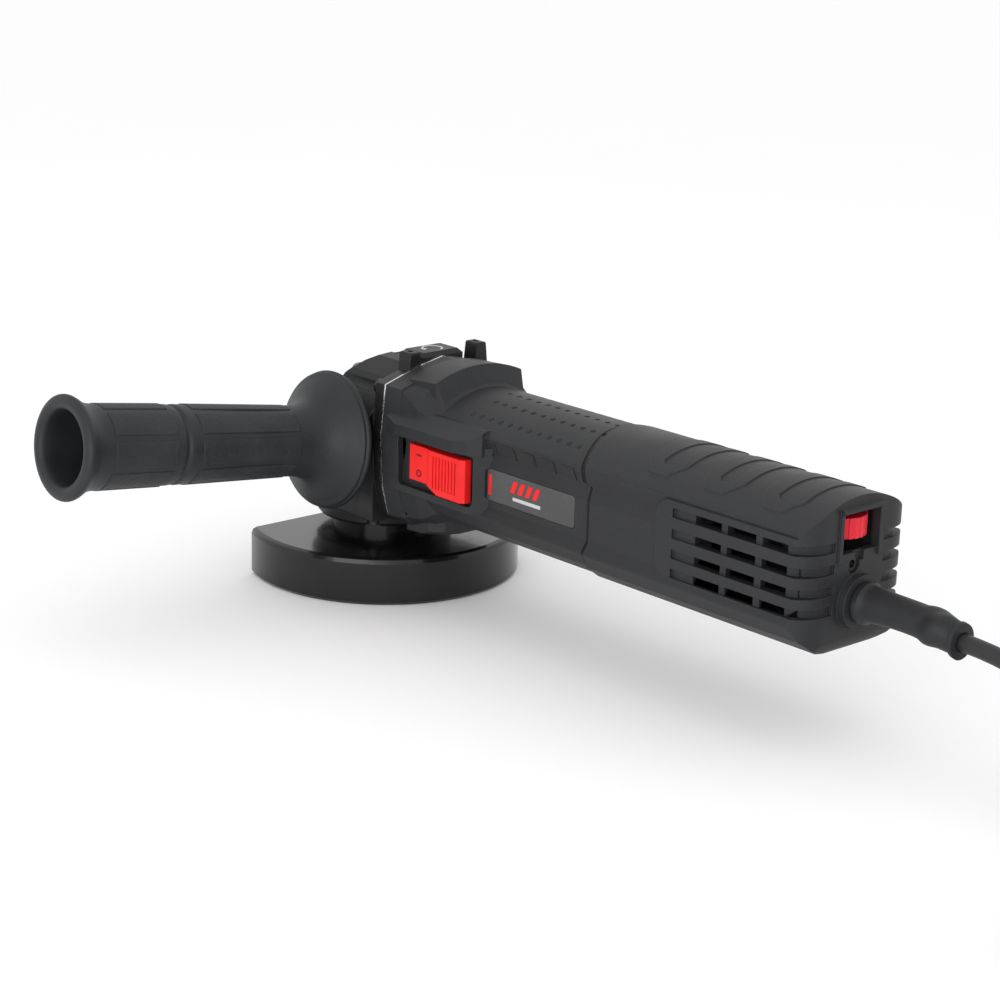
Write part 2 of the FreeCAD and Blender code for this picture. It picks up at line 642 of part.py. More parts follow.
def fan():
    centre = V(0, 0, MOTOR_Z)
    hub = turned([(5.0, 47), (25.0, 47), (25.0, 48.8), (9.0, 50.5), (9.0, 58), (5.0, 58)], centre, X)
    blades = []
    for i in range(11):
        blade = box(48, 56.5, -0.8, 0.8, MOTOR_Z + 10, MOTOR_Z + 24.5)
        blade.rotate(V(50, 0, MOTOR_Z + 10), X, 28)
        blade.rotate(centre, X, 360.0 / 11 * i)
        blades.append(blade)
    save("fan", fuse([hub] + blades))
    baffle = ring(25.2, 19.5, V(59.5, 0, MOTOR_Z), X, 2.0)
    save("fan_baffle", baffle.common(FRONT.solid(58, 63, 0.90)))


def stator():
    blank = cyl(24.3, V(75, 0, MOTOR_Z), X, 50).common(box(70, 130, -22.6, 22.6, 30, 100))
    bore = cyl(16.6, V(70, 0, MOTOR_Z), X, 60)
    low, high = MOTOR_Z - 9.5, MOTOR_Z + 9.5
    coil_room = [box(70, 130, y0, y1, low, high) for y0, y1 in ((-19.5, -10), (10, 19.5))]
    core = cut(blank, [bore] + coil_room)
    save("stator_core", core)
    coils = []
    for side in (-1, 1):
        outer = box(69, 131, 16.8, 19.4, MOTOR_Z - 9.3, MOTOR_Z + 9.3)
        coil = rounded(outer, 1.0, X)
        coils.append(coil if side > 0 else mirrored(coil))
    save("field_coils", group(coils))


def brushes():
    holders, carbons, springs = [], [], []
    for side in (-1, 1):
        body = box(141, 152, 12.8, 22.9, MOTOR_Z - 4.5, MOTOR_Z + 4.5)
        bore = box(142.9, 150.1, 12.0, 22.0, MOTOR_Z - 2.6, MOTOR_Z + 2.6)
        carbon = box(143.0, 150.0, 11.6, 17.4, MOTOR_Z - 2.5, MOTOR_Z + 2.5)
        spring = ring(2.2, 1.4, V(146.5, 17.5, MOTOR_Z), Y, 4.4)
        for shapes, shape in ((holders, body.cut(bore)), (carbons, carbon), (springs, spring)):
            shapes.append(shape if side > 0 else mirrored(shape))
    save("brush_holders", group(holders))
    save("carbon_brushes", group(carbons))
    save("brush_springs", group(springs))


def rear_bearing_boot():
    centre = V(0, 0, MOTOR_Z)
    boot = turned([(9.5, 163.0), (12.5, 163.0), (12.5, 175.0), (0, 175.0),
                   (0, 172.5), (9.5, 172.5)], centre, X)
    save("rear_bearing_boot", boot)


# --- Switch, lock, speed dial ------------------------------------------------------------
def switch_knob():
    """The red slide: a flat front third with marks and a raised ribbed rear."""
    outer = -36.0
    side = [V(60.6, -31.0, 58), V(60.6, outer + 0.9, 58), V(72.5, outer + 0.9, 58), V(74.0, outer, 58),
            V(94.3, outer, 58), V(96.3, -34.5, 58), V(96.3, -31.0, 58)]
    slab = prism(side, Z, 15.6)
    belly = prism([V(73, -31.0, 54.8), V(73, outer, 54.8), V(94.3, outer, 54.8),
                   V(96.3, -34.5, 54.8), V(96.3, -31, 54.8)], Z, 5)
    corner = [V(70, -40, 50), V(80, -40, 54.6), V(72.5, -40, 58.2), V(70, -40, 58.2)]
    belly = belly.cut(prism(corner, Y, 12))
    slab = fuse([slab, belly])
    grooves = [box(x, x + 0.9, -37, outer + 0.8, 57.5, 71.6) for x in (76.6 + 2.05 * i for i in range(8))]
    slab = cut(slab, grooves)
    stem = box(74, 82, -31.0, -24.6, 63.2, 68.8)
    save("switch_knob", fuse([slab, stem]))
    rod = box(74, 82, -24.5, -23.3, 61.5, 70.5)
    run = box(82, 198, -24.5, -23.3, 64.5, 67.5)
    save("switch_rod", fuse([rod, run]))


def switch_body():
    save("switch_body", rounded(box(186, 212, -22.8, -6.0, 55, 78), 1.0, Y))
    save("speed_module", rounded(box(220, 256, -12, 12, 72, 88), 1.5, X))


def lock():
    button = turned([(0, 83.4), (6.2, 83.4), (6.2, 88.0), (5.4, 89.2), (0, 89.2)], V(LOCK_BUTTON_X, 0, 0))
    save("lock_button", button)
    pin = cyl(2.4, V(-LOCK_R, 0, 58.0), Z, 25.4)
    save("lock_pin", pin)
    save("lock_spring", ring(3.2, 2.6, V(-LOCK_R, 0, 78.1), Z, 5.2))


def speed_dial():
    c = DIAL_CENTRE
    wheel = cyl(DIAL_R, c - Z * 4, Z, 8)
    flutes = []
    for i in range(24):
        a = 2 * math.pi * i / 24
        flutes.append(cyl(0.6, c + V(math.cos(a), math.sin(a), 0) * (DIAL_R + 0.1) - Z * 5, Z, 10))
    bore = cyl(1.5, c - Z * 5, Z, 10)
    save("speed_dial", cut(wheel, flutes + [bore]))
    save("dial_shaft", cyl(1.5, c - Z * 7, Z, 11.5))


# --- Guard -------------------------------------------------------------------------------
def guard():
    top = GUARD_PLATE_Z
    profile = [(23.4, top), (GUARD_R - 2.4, top), (GUARD_R - 0.7, top - 0.7), (GUARD_R, top - 2.4),
               (GUARD_R, FLOOR_Z + 1.4), (GUARD_R - 1.4, FLOOR_Z), (GUARD_R - 2.2, FLOOR_Z),
               (GUARD_R - 2.2, FLOOR_Z + 1.0), (GUARD_R - GUARD_T, FLOOR_Z + 1.8),
               (GUARD_R - GUARD_T, top - 2.6), (GUARD_R - 2.6, top - GUARD_T), (23.4, top - GUARD_T)]
    shell = turned(profile).cut(box(-80, GUARD_CHORD_X, -80, 80, -10, 40))
    save("guard_shell", shell)
    collar = ring(23.4, SPIGOT_R + GAP, V(0, 0, top - GUARD_T), Z, BEARING_COVER_Z - 0.4 - top + GUARD_T)
    lug = box(-30, -20, -5.5, 5.5, top + 0.3, BEARING_COVER_Z - 0.4)
    lug = lug.cut(cyl(SPIGOT_R + GAP + 1, V(0, 0, 10), Z, 20))
    collar = fuse([collar, lug])
    split = box(-32, -18, -1.0, 1.0, top + 0.3, 30)
    bore = cyl(2.0, V(-26.6, -10, top + 2.5), Y, 20)
    save("guard_collar", cut(collar, [split, bore]))
    screw = screw_with_head(V(-26.6, -5.6, top + 2.5), Y, 2.3, 2.4, 1.9, 13.0)
    save("guard_clamp_screw", screw)


# --- Side handle -------------------------------------------------------------------------
GRIP = [(0, 30.2), (0.9, 30.7), (1.8, 30.7), (2.6, 29.9), (3.4, 30.2), (4.6, 29.4), (7.0, 25.5), (9.5, 21.5),
        (13.0, 17.6), (19.0, 15.6), (45.0, 15.8), (84.0, 17.2), (86.0, 16.5), (88.0, 17.3),
        (126.0, 18.0), (130.0, 19.2), (134.0, 21.9), (136.0, 21.9), (138.0, 18.9)]
GRIP_LENGTH = 138.0
GRIP_BORE_R = 15.4


def side_handle():
    axis = V(HANDLE_DIR).normalize()
    outer = [(r, h) for h, r in GRIP]
    profile = [(5.0, 0.0)] + outer + [(GRIP_BORE_R + 1.6, GRIP_LENGTH), (GRIP_BORE_R, GRIP_LENGTH - 2),
                                      (11.5, 34.0), (5.0, 34.0)]
    save("side_handle_grip", turned(profile, HANDLE_BASE, axis))
    stud = fuse([cyl(4.9, HANDLE_BASE, axis, 33.0), cyl(6.5, HANDLE_BASE - axis * 1.8, axis, 1.8),
                 cyl(M8_CORE_R, HANDLE_BASE - axis * 13.8, axis, 12.0)])
    save("side_handle_stud", stud)


# --- Cord ---------------------------------------------------------------------------------
CORD_ROUTE = [(331, 0, 52.8), (349, 0, 52.4), (366, 0, 46.6), (380, 0.3, 35.6), (389.5, 1.0, 21.6),
              (402, 3.4, 11.8), (417.6, 7.6, 7.6)]
TAIL_ROUTE = [(378.5, 1.0, 1.0), (393.5, -7.6, 1.0), (408.3, -21.4, 5.2), (421.4, -38.3, 15.3),
              (432.3, -53.3, 15.3)]


def rounded_path(points):
    """Straight runs joined by tangent arcs, each as large as its runs allow."""
    pts = [V(*p) for p in points]
    edges, last = [], pts[0]
    for before, at, after in zip(pts, pts[1:], pts[2:]):
        run_in, run_out = at - before, after - at
        turn = run_in.getAngle(run_out)
        shorter = min(run_in.Length, run_out.Length)
        reach = 0.45 * shorter
        radius = reach / math.tan(turn / 2)
        print("cord arc radius", round(radius, 1))
        u, w = V(run_in).normalize(), V(run_out).normalize()
        start, end = at - u * reach, at + w * reach
        middle_way = (w - u).normalize()
        centre = at + middle_way * (radius / math.cos(turn / 2))
        middle = centre - middle_way * radius
        edges.append(Part.LineSegment(last, start).toShape())
        edges.append(Part.Arc(start, middle, end).toShape())
        last = end
    edges.append(Part.LineSegment(last, pts[-1]).toShape())
    return Part.Wire(edges)


def swept(path, radius):
    start = path.Edges[0]
    spot = start.valueAt(start.FirstParameter)
    way = start.tangentAt(start.FirstParameter)
    section = Part.Wire(Part.makeCircle(radius, spot, way))
    tube = path.makePipeShell([section], True, False)
    print("cord tube volume share", round(tube.Volume / (math.pi * radius ** 2 * path.Length), 4))
    return tube


def cord_boot():
    """The strain relief: a flanged root in the cover, a sleeve, and a swollen end."""
    root_x, mouth_x = BOOT_X - 13.5, BOOT_X + 4.0
    root = cyl(9.0, V(root_x, 0, BOOT_Z), X, 4.3)
    neck = cyl(BOOT_R, V(root_x, 0, BOOT_Z), X, mouth_x - root_x)
    sleeve = loft_rounds([(mouth_x, BOOT_Z, BOOT_R), (300.0, 55.9, 6.5), (313.5, 55.5, 6.9),
                          (320.0, 54.9, 7.8), (326.5, 53.9, 6.7), (BOOT_END.x, BOOT_END.z, 6.2)])
    boot = fuse([root, neck, sleeve])
    save("cord_boot", boot)


def loft_rounds(stations):
    rings = [Part.Wire(Part.makeCircle(r, V(x, 0, z), X)) for x, z, r in stations]
    return Part.makeLoft(rings, True, False)


def mains_cord():
    lead = swept(rounded_path(CORD_ROUTE), CORD_R)
    tail = swept(rounded_path(TAIL_ROUTE), CORD_R)
    save("mains_cord", group([lead, tail]))


def coil_profile(grow=0.0):
    r0 = COIL_TURN_RADII[0] - CORD_R - grow
    r1 = COIL_TURN_RADII[-1] + CORD_R + grow
    low, mid, top = -2.3, 4.0, 1.2 + LAYER_PITCH + CORD_R + grow
    return [(r0 + 1.5, low), (r1 - 1.5, low), (r1, low + 1.5), (r1, mid), (r1 - 3.0, top - 1.5),
            (r1 - 4.5, top), (r0 + 4.5, top), (r0 + 3.0, top - 1.5), (r0, mid), (r0, low + 1.5)]


def cord_coil():
    coil = turned(coil_profile(), COIL_CENTRE)
    save("cord_coil", coil)
    wide = turned(coil_profile(0.9), COIL_CENTRE)
    slab = box(COIL_CENTRE.x - 4, COIL_CENTRE.x + 4, COIL_CENTRE.y, COIL_CENTRE.y + 70, FLOOR_Z + 0.1, 30)
    save("cord_tie", wide.common(slab).cut(coil))


def plug():
    """A round two-pin mains plug lying on its side."""
    start = V(*TAIL_ROUTE[-1])
    way = (start - V(*TAIL_ROUTE[-2])).normalize()
    body = turned([(0, 0), (5.0, 0), (6.2, 3), (6.6, 14), (10.5, 19), (17.0, 25), (17.6, 27), (17.6, 40.5),
                   (16.4, 41.7), (0, 41.7)], start, way)
    save("plug_body", body)
    across = way.cross(Z)
    pins = []
    for side in (-1, 1):
        place = start + way * 41.7 + across * (9.5 * side)
        pins.append(turned([(0, 0), (2.4, 0), (2.4, 18.0), (1.6, 19.0), (0, 19.0)], place, way))
    save("plug_pins", group(pins))


def cord_clamp():
    block = box(257, 267, -9, 9, 43.5, 47.9)
    tools = [cyl(CORD_R, V(250, 0, 51.0), X, 20)]
    screws = [(262, -6.2), (262, 6.2)]
    tools += [cyl(1.5, V(x, y, 40), Z, 10) for x, y in screws]
    save("cord_clamp", cut(block, tools))
    heads = [screw_with_head(V(x, y, 47.9), -Z, 2.6, 1.8, 1.45, 6.5) for x, y in screws]
    save("cord_clamp_screws", group(heads))
    rear_screw = screw_with_head(V(TAIL_X - 3.2, -2.8, 69.8), -X, 3.1, 2.2, 1.6, 16)
    save("rear_cover_screw", rear_screw)


def main():
    os.makedirs("parts", exist_ok=True)
    motor_housing()
    label_plates()
    rear_cover()
    gear_case()
    gear_case_screws()
    bearing_plate()
    bearing_cover()
    ball_bearing("spindle_bearing", V(0, 0, 28), Z, 6.0, 16.0, 10.0, {"ball": 2.6, "count": 9})
    ball_bearing("front_bearing", V(32.5, 0, MOTOR_Z), X, SHAFT_R, 11.0, 7.0, {"ball": 2.0, "count": 8})
    ball_bearing("rear_bearing", V(167.5, 0, MOTOR_Z), X, SHAFT_R, 9.5, 6.0, {"ball": 1.6, "count": 8})
    crown_gear()
    drive_pinion()
    spindle()
    armature()
    stator()
    brushes()
    rear_bearing_boot()
    switch_knob()
    switch_body()
    lock()
    speed_dial()
    guard()
    side_handle()
    cord_boot()
    mains_cord()
    cord_coil()
    plug()
    cord_clamp()


main()
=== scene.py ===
"""Corded angle grinder: finishes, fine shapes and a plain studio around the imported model."""
import json
import logging
import math
from dataclasses import dataclass
from enum import Enum
from typing import Callable, Sequence

import bmesh
import bpy
from mathutils import Matrix, Vector


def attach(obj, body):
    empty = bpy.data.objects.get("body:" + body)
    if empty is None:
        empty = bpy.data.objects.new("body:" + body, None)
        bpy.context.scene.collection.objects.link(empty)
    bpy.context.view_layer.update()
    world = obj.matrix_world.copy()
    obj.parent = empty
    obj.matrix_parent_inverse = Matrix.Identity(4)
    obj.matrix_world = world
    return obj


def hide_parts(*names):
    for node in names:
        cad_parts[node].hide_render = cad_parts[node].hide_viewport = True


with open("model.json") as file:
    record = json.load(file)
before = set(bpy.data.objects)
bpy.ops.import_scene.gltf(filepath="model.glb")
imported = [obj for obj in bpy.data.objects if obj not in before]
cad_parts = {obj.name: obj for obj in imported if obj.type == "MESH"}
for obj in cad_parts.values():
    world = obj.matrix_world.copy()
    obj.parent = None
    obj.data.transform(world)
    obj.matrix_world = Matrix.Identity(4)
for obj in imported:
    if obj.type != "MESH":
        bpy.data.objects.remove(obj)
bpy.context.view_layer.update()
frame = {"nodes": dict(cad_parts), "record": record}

LOG = logging.getLogger("grinder")
MM = 0.001
Point = tuple[float, float, float]
Colour = tuple[float, float, float]

FLOOR_Z = -2.5
SEAM_X = 164.3
SEAM_CROWN_X = 153.3
SEAM_RIDGE_Z = 77.0
SEAM_HALF = 34.0
SEAM_WIDTH = 1.7
SEAM_DEPTH = 1.2
SEAM_SHADE = (0.0015, 0.0015, 0.0016)


# --- Small helpers ---------------------------------------------------------------------
def metres(point: Sequence[float]) -> Vector:
    """A point in millimetres as a vector in metres."""
    return Vector(point) * MM


def link(name: str, data: bpy.types.ID) -> bpy.types.Object:
    """Makes an object of data at the origin and puts it in the scene.

    Args:
        name: the object's name.
        data: its mesh, curve, light or camera.

    Returns:
        The new object.
    """
    obj = bpy.data.objects.new(name, data)
    bpy.context.scene.collection.objects.link(obj)
    return obj


def smooth_by_angle(mesh: bpy.types.Mesh, degrees: float) -> None:
    """Smooth shading, with edges sharper than degrees kept sharp."""
    mesh.shade_smooth()
    mesh.set_sharp_from_angle(angle=math.radians(degrees))


def perpendicular(axis: Vector) -> tuple[Vector, Vector]:
    """Two directions that make a right-handed set with axis."""
    side = Vector((1, 0, 0)) if abs(axis.x) < 0.9 else Vector((0, 0, 1))
    side = (side - axis * side.dot(axis)).normalized()
    return side, axis.cross(side)


class Body(Enum):
    """The bodies that pieces ride on."""

    HOUSING = "housing"
    ARMATURE = "armature"
    SPINDLE = "spindle"
    SWITCH = "switch_slide"
    LOCK = "lock"
    DIAL = "dial"
    GUARD = "guard"


# --- Materials ---------------------------------------------------------------------------
class Graph:
    """A material's node tree, with short ways to add and join its nodes."""

    def __init__(self, name: str) -> None:
        """Starts an empty material called name."""
        self.material = bpy.data.materials.new(name)
        self.material.use_nodes = True
        self.tree = self.material.node_tree
        self.tree.nodes.clear()
        self.output = self.node("ShaderNodeOutputMaterial")
        self.shader = self.node("ShaderNodeBsdfPrincipled")
        self.join(self.shader.outputs[0], self.output.inputs["Surface"])
        self.place = self.node("ShaderNodeTexCoord").outputs["Object"]

    def node(self, kind: str, **values: object) -> bpy.types.Node:
        """Adds a node and sets its properties.

        Args:
            kind: the node's type.
            **values: its properties, by name.

        Returns:
            The node.
        """
        made = self.tree.nodes.new(kind)
        for key, value in values.items():
            setattr(made, key, value)
        return made

    def join(self, out: bpy.types.NodeSocket, into: bpy.types.NodeSocket) -> None:
        """Links two sockets."""
        self.tree.links.new(out, into)

    def colour(self, value: bpy.types.NodeSocket) -> None:
        """Drives the shader's colour."""
        self.join(value, self.shader.inputs["Base Color"])

    def roughness(self, value: bpy.types.NodeSocket) -> None:
        """Drives the shader's roughness."""
        self.join(value, self.shader.inputs["Roughness"])

    def normal(self, value: bpy.types.NodeSocket) -> None:
        """Drives the shader's normal."""
        self.join(value, self.shader.inputs["Normal"])

    def stretched(self, scale: Point) -> bpy.types.NodeSocket:
        """Object coordinates scaled by three factors."""
        mapping = self.node("ShaderNodeMapping")
        mapping.inputs["Scale"].default_value = scale
        self.join(self.place, mapping.inputs["Vector"])
        return mapping.outputs[0]

    def noise(self, scale: float, detail: float = 3.0, rough: float = 0.55,
              where: bpy.types.NodeSocket | None = None) -> bpy.types.NodeSocket:
        """A noise texture's value.

        Args:
            scale: its features per metre.
            detail: how many octaves.
            rough: how strong the fine octaves are.
            where: the coordinates it reads, or None for the object's own.

        Returns:
            The value's socket.
        """
        made = self.node("ShaderNodeTexNoise")
        made.inputs["Scale"].default_value = scale
        made.inputs["Detail"].default_value = detail
        made.inputs["Roughness"].default_value = rough
        self.join(where or self.place, made.inputs["Vector"])
        return made.outputs[0]

    def cells(self, scale: float, feature: str = "F1",
              where: bpy.types.NodeSocket | None = None) -> bpy.types.NodeSocket:
        """A cell texture's distance, for leather-like and pebbled skins."""
        made = self.node("ShaderNodeTexVoronoi", feature=feature)
        made.inputs["Scale"].default_value = scale
        self.join(where or self.place, made.inputs["Vector"])
        return made.outputs["Distance"]

    def ranged(self, value: bpy.types.NodeSocket, low: float, high: float,
               start: float = 0.3, end: float = 0.7) -> bpy.types.NodeSocket:
        """The value between start and end, spread from low to high."""
        made = self.node("ShaderNodeMapRange")
        made.inputs["From Min"].default_value = start
        made.inputs["From Max"].default_value = end
        made.inputs["To Min"].default_value = low
        made.inputs["To Max"].default_value = high
        self.join(value, made.inputs["Value"])
        return made.outputs[0]

    def math(self, operation: str, a: bpy.types.NodeSocket,
             b: bpy.types.NodeSocket | float) -> bpy.types.NodeSocket:
        """One arithmetic step on two values."""
        made = self.node("ShaderNodeMath", operation=operation)
        self.join(a, made.inputs[0])
        if isinstance(b, (int, float)):
            made.inputs[1].default_value = b
        else:
            self.join(b, made.inputs[1])
        return made.outputs[0]

    def blend(self, share: bpy.types.NodeSocket, a: Colour | bpy.types.NodeSocket,
              b: Colour | bpy.types.NodeSocket) -> bpy.types.NodeSocket:
        """A mix of two colours by share."""
        made = self.node("ShaderNodeMix", data_type="RGBA")
        self.join(share, made.inputs["Factor"])
        for index, value in ((6, a), (7, b)):
            if isinstance(value, tuple):
                made.inputs[index].default_value = (*value, 1.0)
            else:
                self.join(value, made.inputs[index])
        return made.outputs[2]

    def soft_edges(self, radius: float) -> tuple[bpy.types.NodeSocket, bpy.types.NodeSocket]:
        """A normal that rounds sharp edges, and how much of an edge is near."""
        bevel = self.node("ShaderNodeBevel", samples=6)
        bevel.inputs["Radius"].default_value = radius
        true = self.node("ShaderNodeNewGeometry").outputs["Normal"]
        dot = self.node("ShaderNodeVectorMath", operation="DOT_PRODUCT")
        self.join(bevel.outputs[0], dot.inputs[0])
        self.join(true, dot.inputs[1])
        return bevel.outputs[0], self.ranged(dot.outputs["Value"], 1.0, 0.0, 0.72, 0.99)

    def bump(self, height: bpy.types.NodeSocket, strength: float, distance: float,
             under: bpy.types.NodeSocket | None = None) -> bpy.types.NodeSocket:
        """A bumped normal.

        Args:
            height: the value that rises and falls.
            strength: how much of the bump shows.
            distance: its height in metres.
            under: the normal that it starts from.

        Returns:
            The normal's socket.
        """
        made = self.node("ShaderNodeBump")
        made.inputs["Strength"].default_value = strength
        made.inputs["Distance"].default_value = distance
        self.join(height, made.inputs["Height"])
        if under is not None:
            self.join(under, made.inputs["Normal"])
        return made.outputs[0]

    def fixed(self, **values: float) -> None:
        """Sets constants on the shader's own sockets; names have _ for a space."""
        for key, value in values.items():
            self.shader.inputs[key.replace("_", " ")].default_value = value


@dataclass(frozen=True)
class Finish:
    """A finish made once and shared by every piece that asks for it."""

    name: str

    def paint(self, graph: Graph) -> None:
        """Fills the graph; each kind of finish has its own."""
        raise NotImplementedError

    @property
    def material(self) -> bpy.types.Material:
        """The finish's material, made at its first use."""
        found = bpy.data.materials.get(self.name)
        if found is None:
            graph = Graph(self.name)
            self.paint(graph)
            found = graph.material
        return found


def seam_line(graph: Graph) -> bpy.types.NodeSocket:
    """How much of a point is in the shadow gap between the barrel and the rear cover."""
    split = graph.node("ShaderNodeSeparateXYZ")
    graph.join(graph.place, split.inputs[0])
    x, y, z = split.outputs
    side = graph.math("MULTIPLY", graph.math("MULTIPLY", y, y), 1.0 / (SEAM_HALF * MM) ** 2)
    above = graph.ranged(z, 0.0, 1.0, (SEAM_RIDGE_Z - 0.5) * MM, (SEAM_RIDGE_Z + 0.5) * MM)
    rake = graph.math("MULTIPLY", graph.math("SUBTRACT", side, 1.0), (SEAM_X - SEAM_CROWN_X) * MM)
    line = graph.math("ADD", graph.math("MULTIPLY", rake, above), SEAM_X * MM)
    away = graph.math("ABSOLUTE", graph.math("SUBTRACT", x, line), 0.0)
    return graph.ranged(away, 1.0, 0.0, SEAM_WIDTH * MM * 0.35, SEAM_WIDTH * MM * 0.65)


@dataclass(frozen=True)
class Moulded(Finish):
    """Moulded plastic or a painted casting: a fine pebbled skin, with a painted highlight that lightens its
    edges in patches.
    """

    colour: Colour = (0.03, 0.031, 0.033)
    # Paler colour for the fine specks, and for the painted highlight on the edges.
    speck_and_edge_highlight: Colour = (0.07, 0.072, 0.075)
    rough: float = 0.5
    grain: float = 1500.0
    depth: float = 0.00010
    strength: float = 0.35
    edge: float = 0.0005
    coat: float = 0.0
    seam: bool = False

    def paint(self, graph: Graph) -> None:
        """Grain in the normal, cloudy roughness and colour, and edges painted lighter as a highlight."""
        rounded, edges = graph.soft_edges(self.edge)
        fine = graph.noise(self.grain, 3.0, 0.6)
        cloudy = graph.noise(45.0, 4.0)
        darker = tuple(c * 0.82 for c in self.colour)
        base = graph.blend(graph.ranged(cloudy, 0.0, 1.0), darker, self.colour)
        speck = graph.blend(graph.ranged(fine, 0.0, 0.35, 0.55, 0.75), base, self.speck_and_edge_highlight)
        # Painted highlight: edges are painted towards the paler colour, in patches.
        edge_highlight = graph.math("MULTIPLY", edges, graph.ranged(cloudy, 0.25, 0.6))
        skin = graph.blend(edge_highlight, speck, self.speck_and_edge_highlight)
        if self.seam:
            gap = seam_line(graph)
            skin = graph.blend(gap, skin, SEAM_SHADE)
            rounded = graph.bump(graph.math("MULTIPLY", gap, -1.0), 1.0, SEAM_DEPTH * MM, rounded)
        graph.colour(skin)
        rough = graph.ranged(graph.math("ADD", cloudy, fine), self.rough - 0.07, self.rough + 0.07, 0.7, 1.3)
        graph.roughness(rough)
        graph.normal(graph.bump(fine, self.strength, self.depth, rounded))
        graph.fixed(Coat_Weight=self.coat, Coat_Roughness=0.2, IOR=1.5, Specular_IOR_Level=0.26)


@dataclass(frozen=True)
class Enamel(Finish):
    """Gloss paint on pressed sheet, with a little orange peel and faint dust."""

    colour: Colour = (0.005, 0.005, 0.0055)
    rough: float = 0.16

    def paint(self, graph: Graph) -> None:
        """Slow waves in the normal, dust that dulls patches, and a painted highlight on the edges."""
        rounded, edges = graph.soft_edges(0.0004)
        peel = graph.noise(420.0, 2.0)
        dust = graph.noise(90.0, 6.0, 0.7)
        grey = tuple(c + 0.006 for c in self.colour)
        base = graph.blend(graph.ranged(dust, 0.0, 1.0, 0.5, 0.8), self.colour, grey)
        # Painted highlight: edges are painted a lighter grey, in patches.
        edge_highlight = graph.math("MULTIPLY", edges, graph.ranged(dust, 0.0, 0.5, 0.45, 0.7))
        graph.colour(graph.blend(edge_highlight, base, (0.06, 0.06, 0.062)))
        graph.roughness(graph.ranged(dust, self.rough, self.rough + 0.12, 0.4, 0.8))
        graph.normal(graph.bump(peel, 0.12, 0.0001, rounded))
        graph.fixed(Coat_Weight=0.25, Coat_Roughness=0.08, IOR=1.5, Specular_IOR_Level=0.3)


@dataclass(frozen=True)
class Machined(Finish):
    """Bare or plated metal with fine tool lines along one direction."""

    colour: Colour = (0.55, 0.55, 0.56)
    rough: float = 0.3
    lines: Point = (1.0, 1.0, 30.0)
    stain: float = 0.8

    def paint(self, graph: Graph) -> None:
        """Stretched noise for the tool lines, and patches of light tarnish."""
        rounded = graph.soft_edges(0.0002)[0]
        drawn = graph.noise(160.0, 4.0, 0.7, graph.stretched(self.lines))
        patch = graph.noise(120.0, 5.0, 0.6)
        dull = tuple(c * self.stain for c in self.colour)
        graph.colour(graph.blend(graph.ranged(patch, 0.0, 1.0), dull, self.colour))
        graph.roughness(graph.ranged(drawn, self.rough - 0.08, self.rough + 0.12))
        graph.normal(graph.bump(drawn, 0.15, 0.00005, rounded))
        graph.fixed(Metallic=1.0)


@dataclass(frozen=True)
class Banded(Finish):
    """Stacked sheets or wound wire: fine bands across one axis."""

    dark: Colour = (0.2, 0.2, 0.21)
    light: Colour = (0.45, 0.45, 0.47)
    axis: str = "X"
    bands: float = 600.0
    rough: float = 0.4
    metallic: float = 1.0

    def paint(self, graph: Graph) -> None:
        """A wave along the axis drives colour and relief."""
        wave = graph.node("ShaderNodeTexWave", bands_direction=self.axis)
        wave.inputs["Scale"].default_value = self.bands
        wave.inputs["Distortion"].default_value = 0.6
        graph.join(graph.place, wave.inputs["Vector"])
        value = wave.outputs["Fac"]
        patch = graph.noise(150.0, 4.0)
        base = graph.blend(value, self.dark, self.light)
        graph.colour(graph.blend(graph.ranged(patch, 0.0, 0.4), base, self.dark))
        graph.roughness(graph.ranged(patch, self.rough - 0.08, self.rough + 0.1))
        graph.normal(graph.bump(value, 0.5, 0.0002))
        graph.fixed(Metallic=self.metallic)


@dataclass(frozen=True)
class Rubber(Finish):
    """Soft moulded rubber: dull, faintly dusty, with a leathery or smooth skin."""

    colour: Colour = (0.009, 0.0095, 0.0105)
    # Paler colour for the patchy dusty tone, and for the painted highlight on the edges.
    bloom_and_edge_highlight: Colour = (0.02, 0.021, 0.023)
    rough: float = 0.55
    pebble: float = 900.0
    strength: float = 0.3
    depth: float = 0.00012

    def paint(self, graph: Graph) -> None:
        """Pebbles and fine noise in the normal, a patchy paler dusty tone, and a painted highlight on the
        edges.
        """
        rounded, edges = graph.soft_edges(0.0006)
        pebbles = graph.cells(self.pebble)
        fine = graph.noise(3200.0, 2.0)
        cloud = graph.noise(35.0, 5.0)
        base = graph.blend(graph.ranged(cloud, 0.0, 0.8), self.colour, self.bloom_and_edge_highlight)
        # Painted highlight: edges are painted part way towards the paler colour.
        graph.colour(graph.blend(graph.math("MULTIPLY", edges, 0.35), base, self.bloom_and_edge_highlight))
        graph.roughness(graph.ranged(cloud, self.rough - 0.06, self.rough + 0.08))
        height = graph.math("ADD", pebbles, graph.math("MULTIPLY", fine, 0.5))
        graph.normal(graph.bump(height, self.strength, self.depth, rounded))
        graph.fixed(IOR=1.48, Specular_IOR_Level=0.36)


@dataclass(frozen=True)
class Floor(Finish):
    """A plain pale studio floor with the faintest mottling."""

    colour: Colour = (0.97, 0.97, 0.97)

    def paint(self, graph: Graph) -> None:
        """Nearly white, and matte."""
        cloud = graph.noise(4.0, 3.0)
        paler = tuple(c * 1.015 for c in self.colour)
        graph.colour(graph.blend(cloud, self.colour, paler))
        graph.fixed(Roughness=0.9)


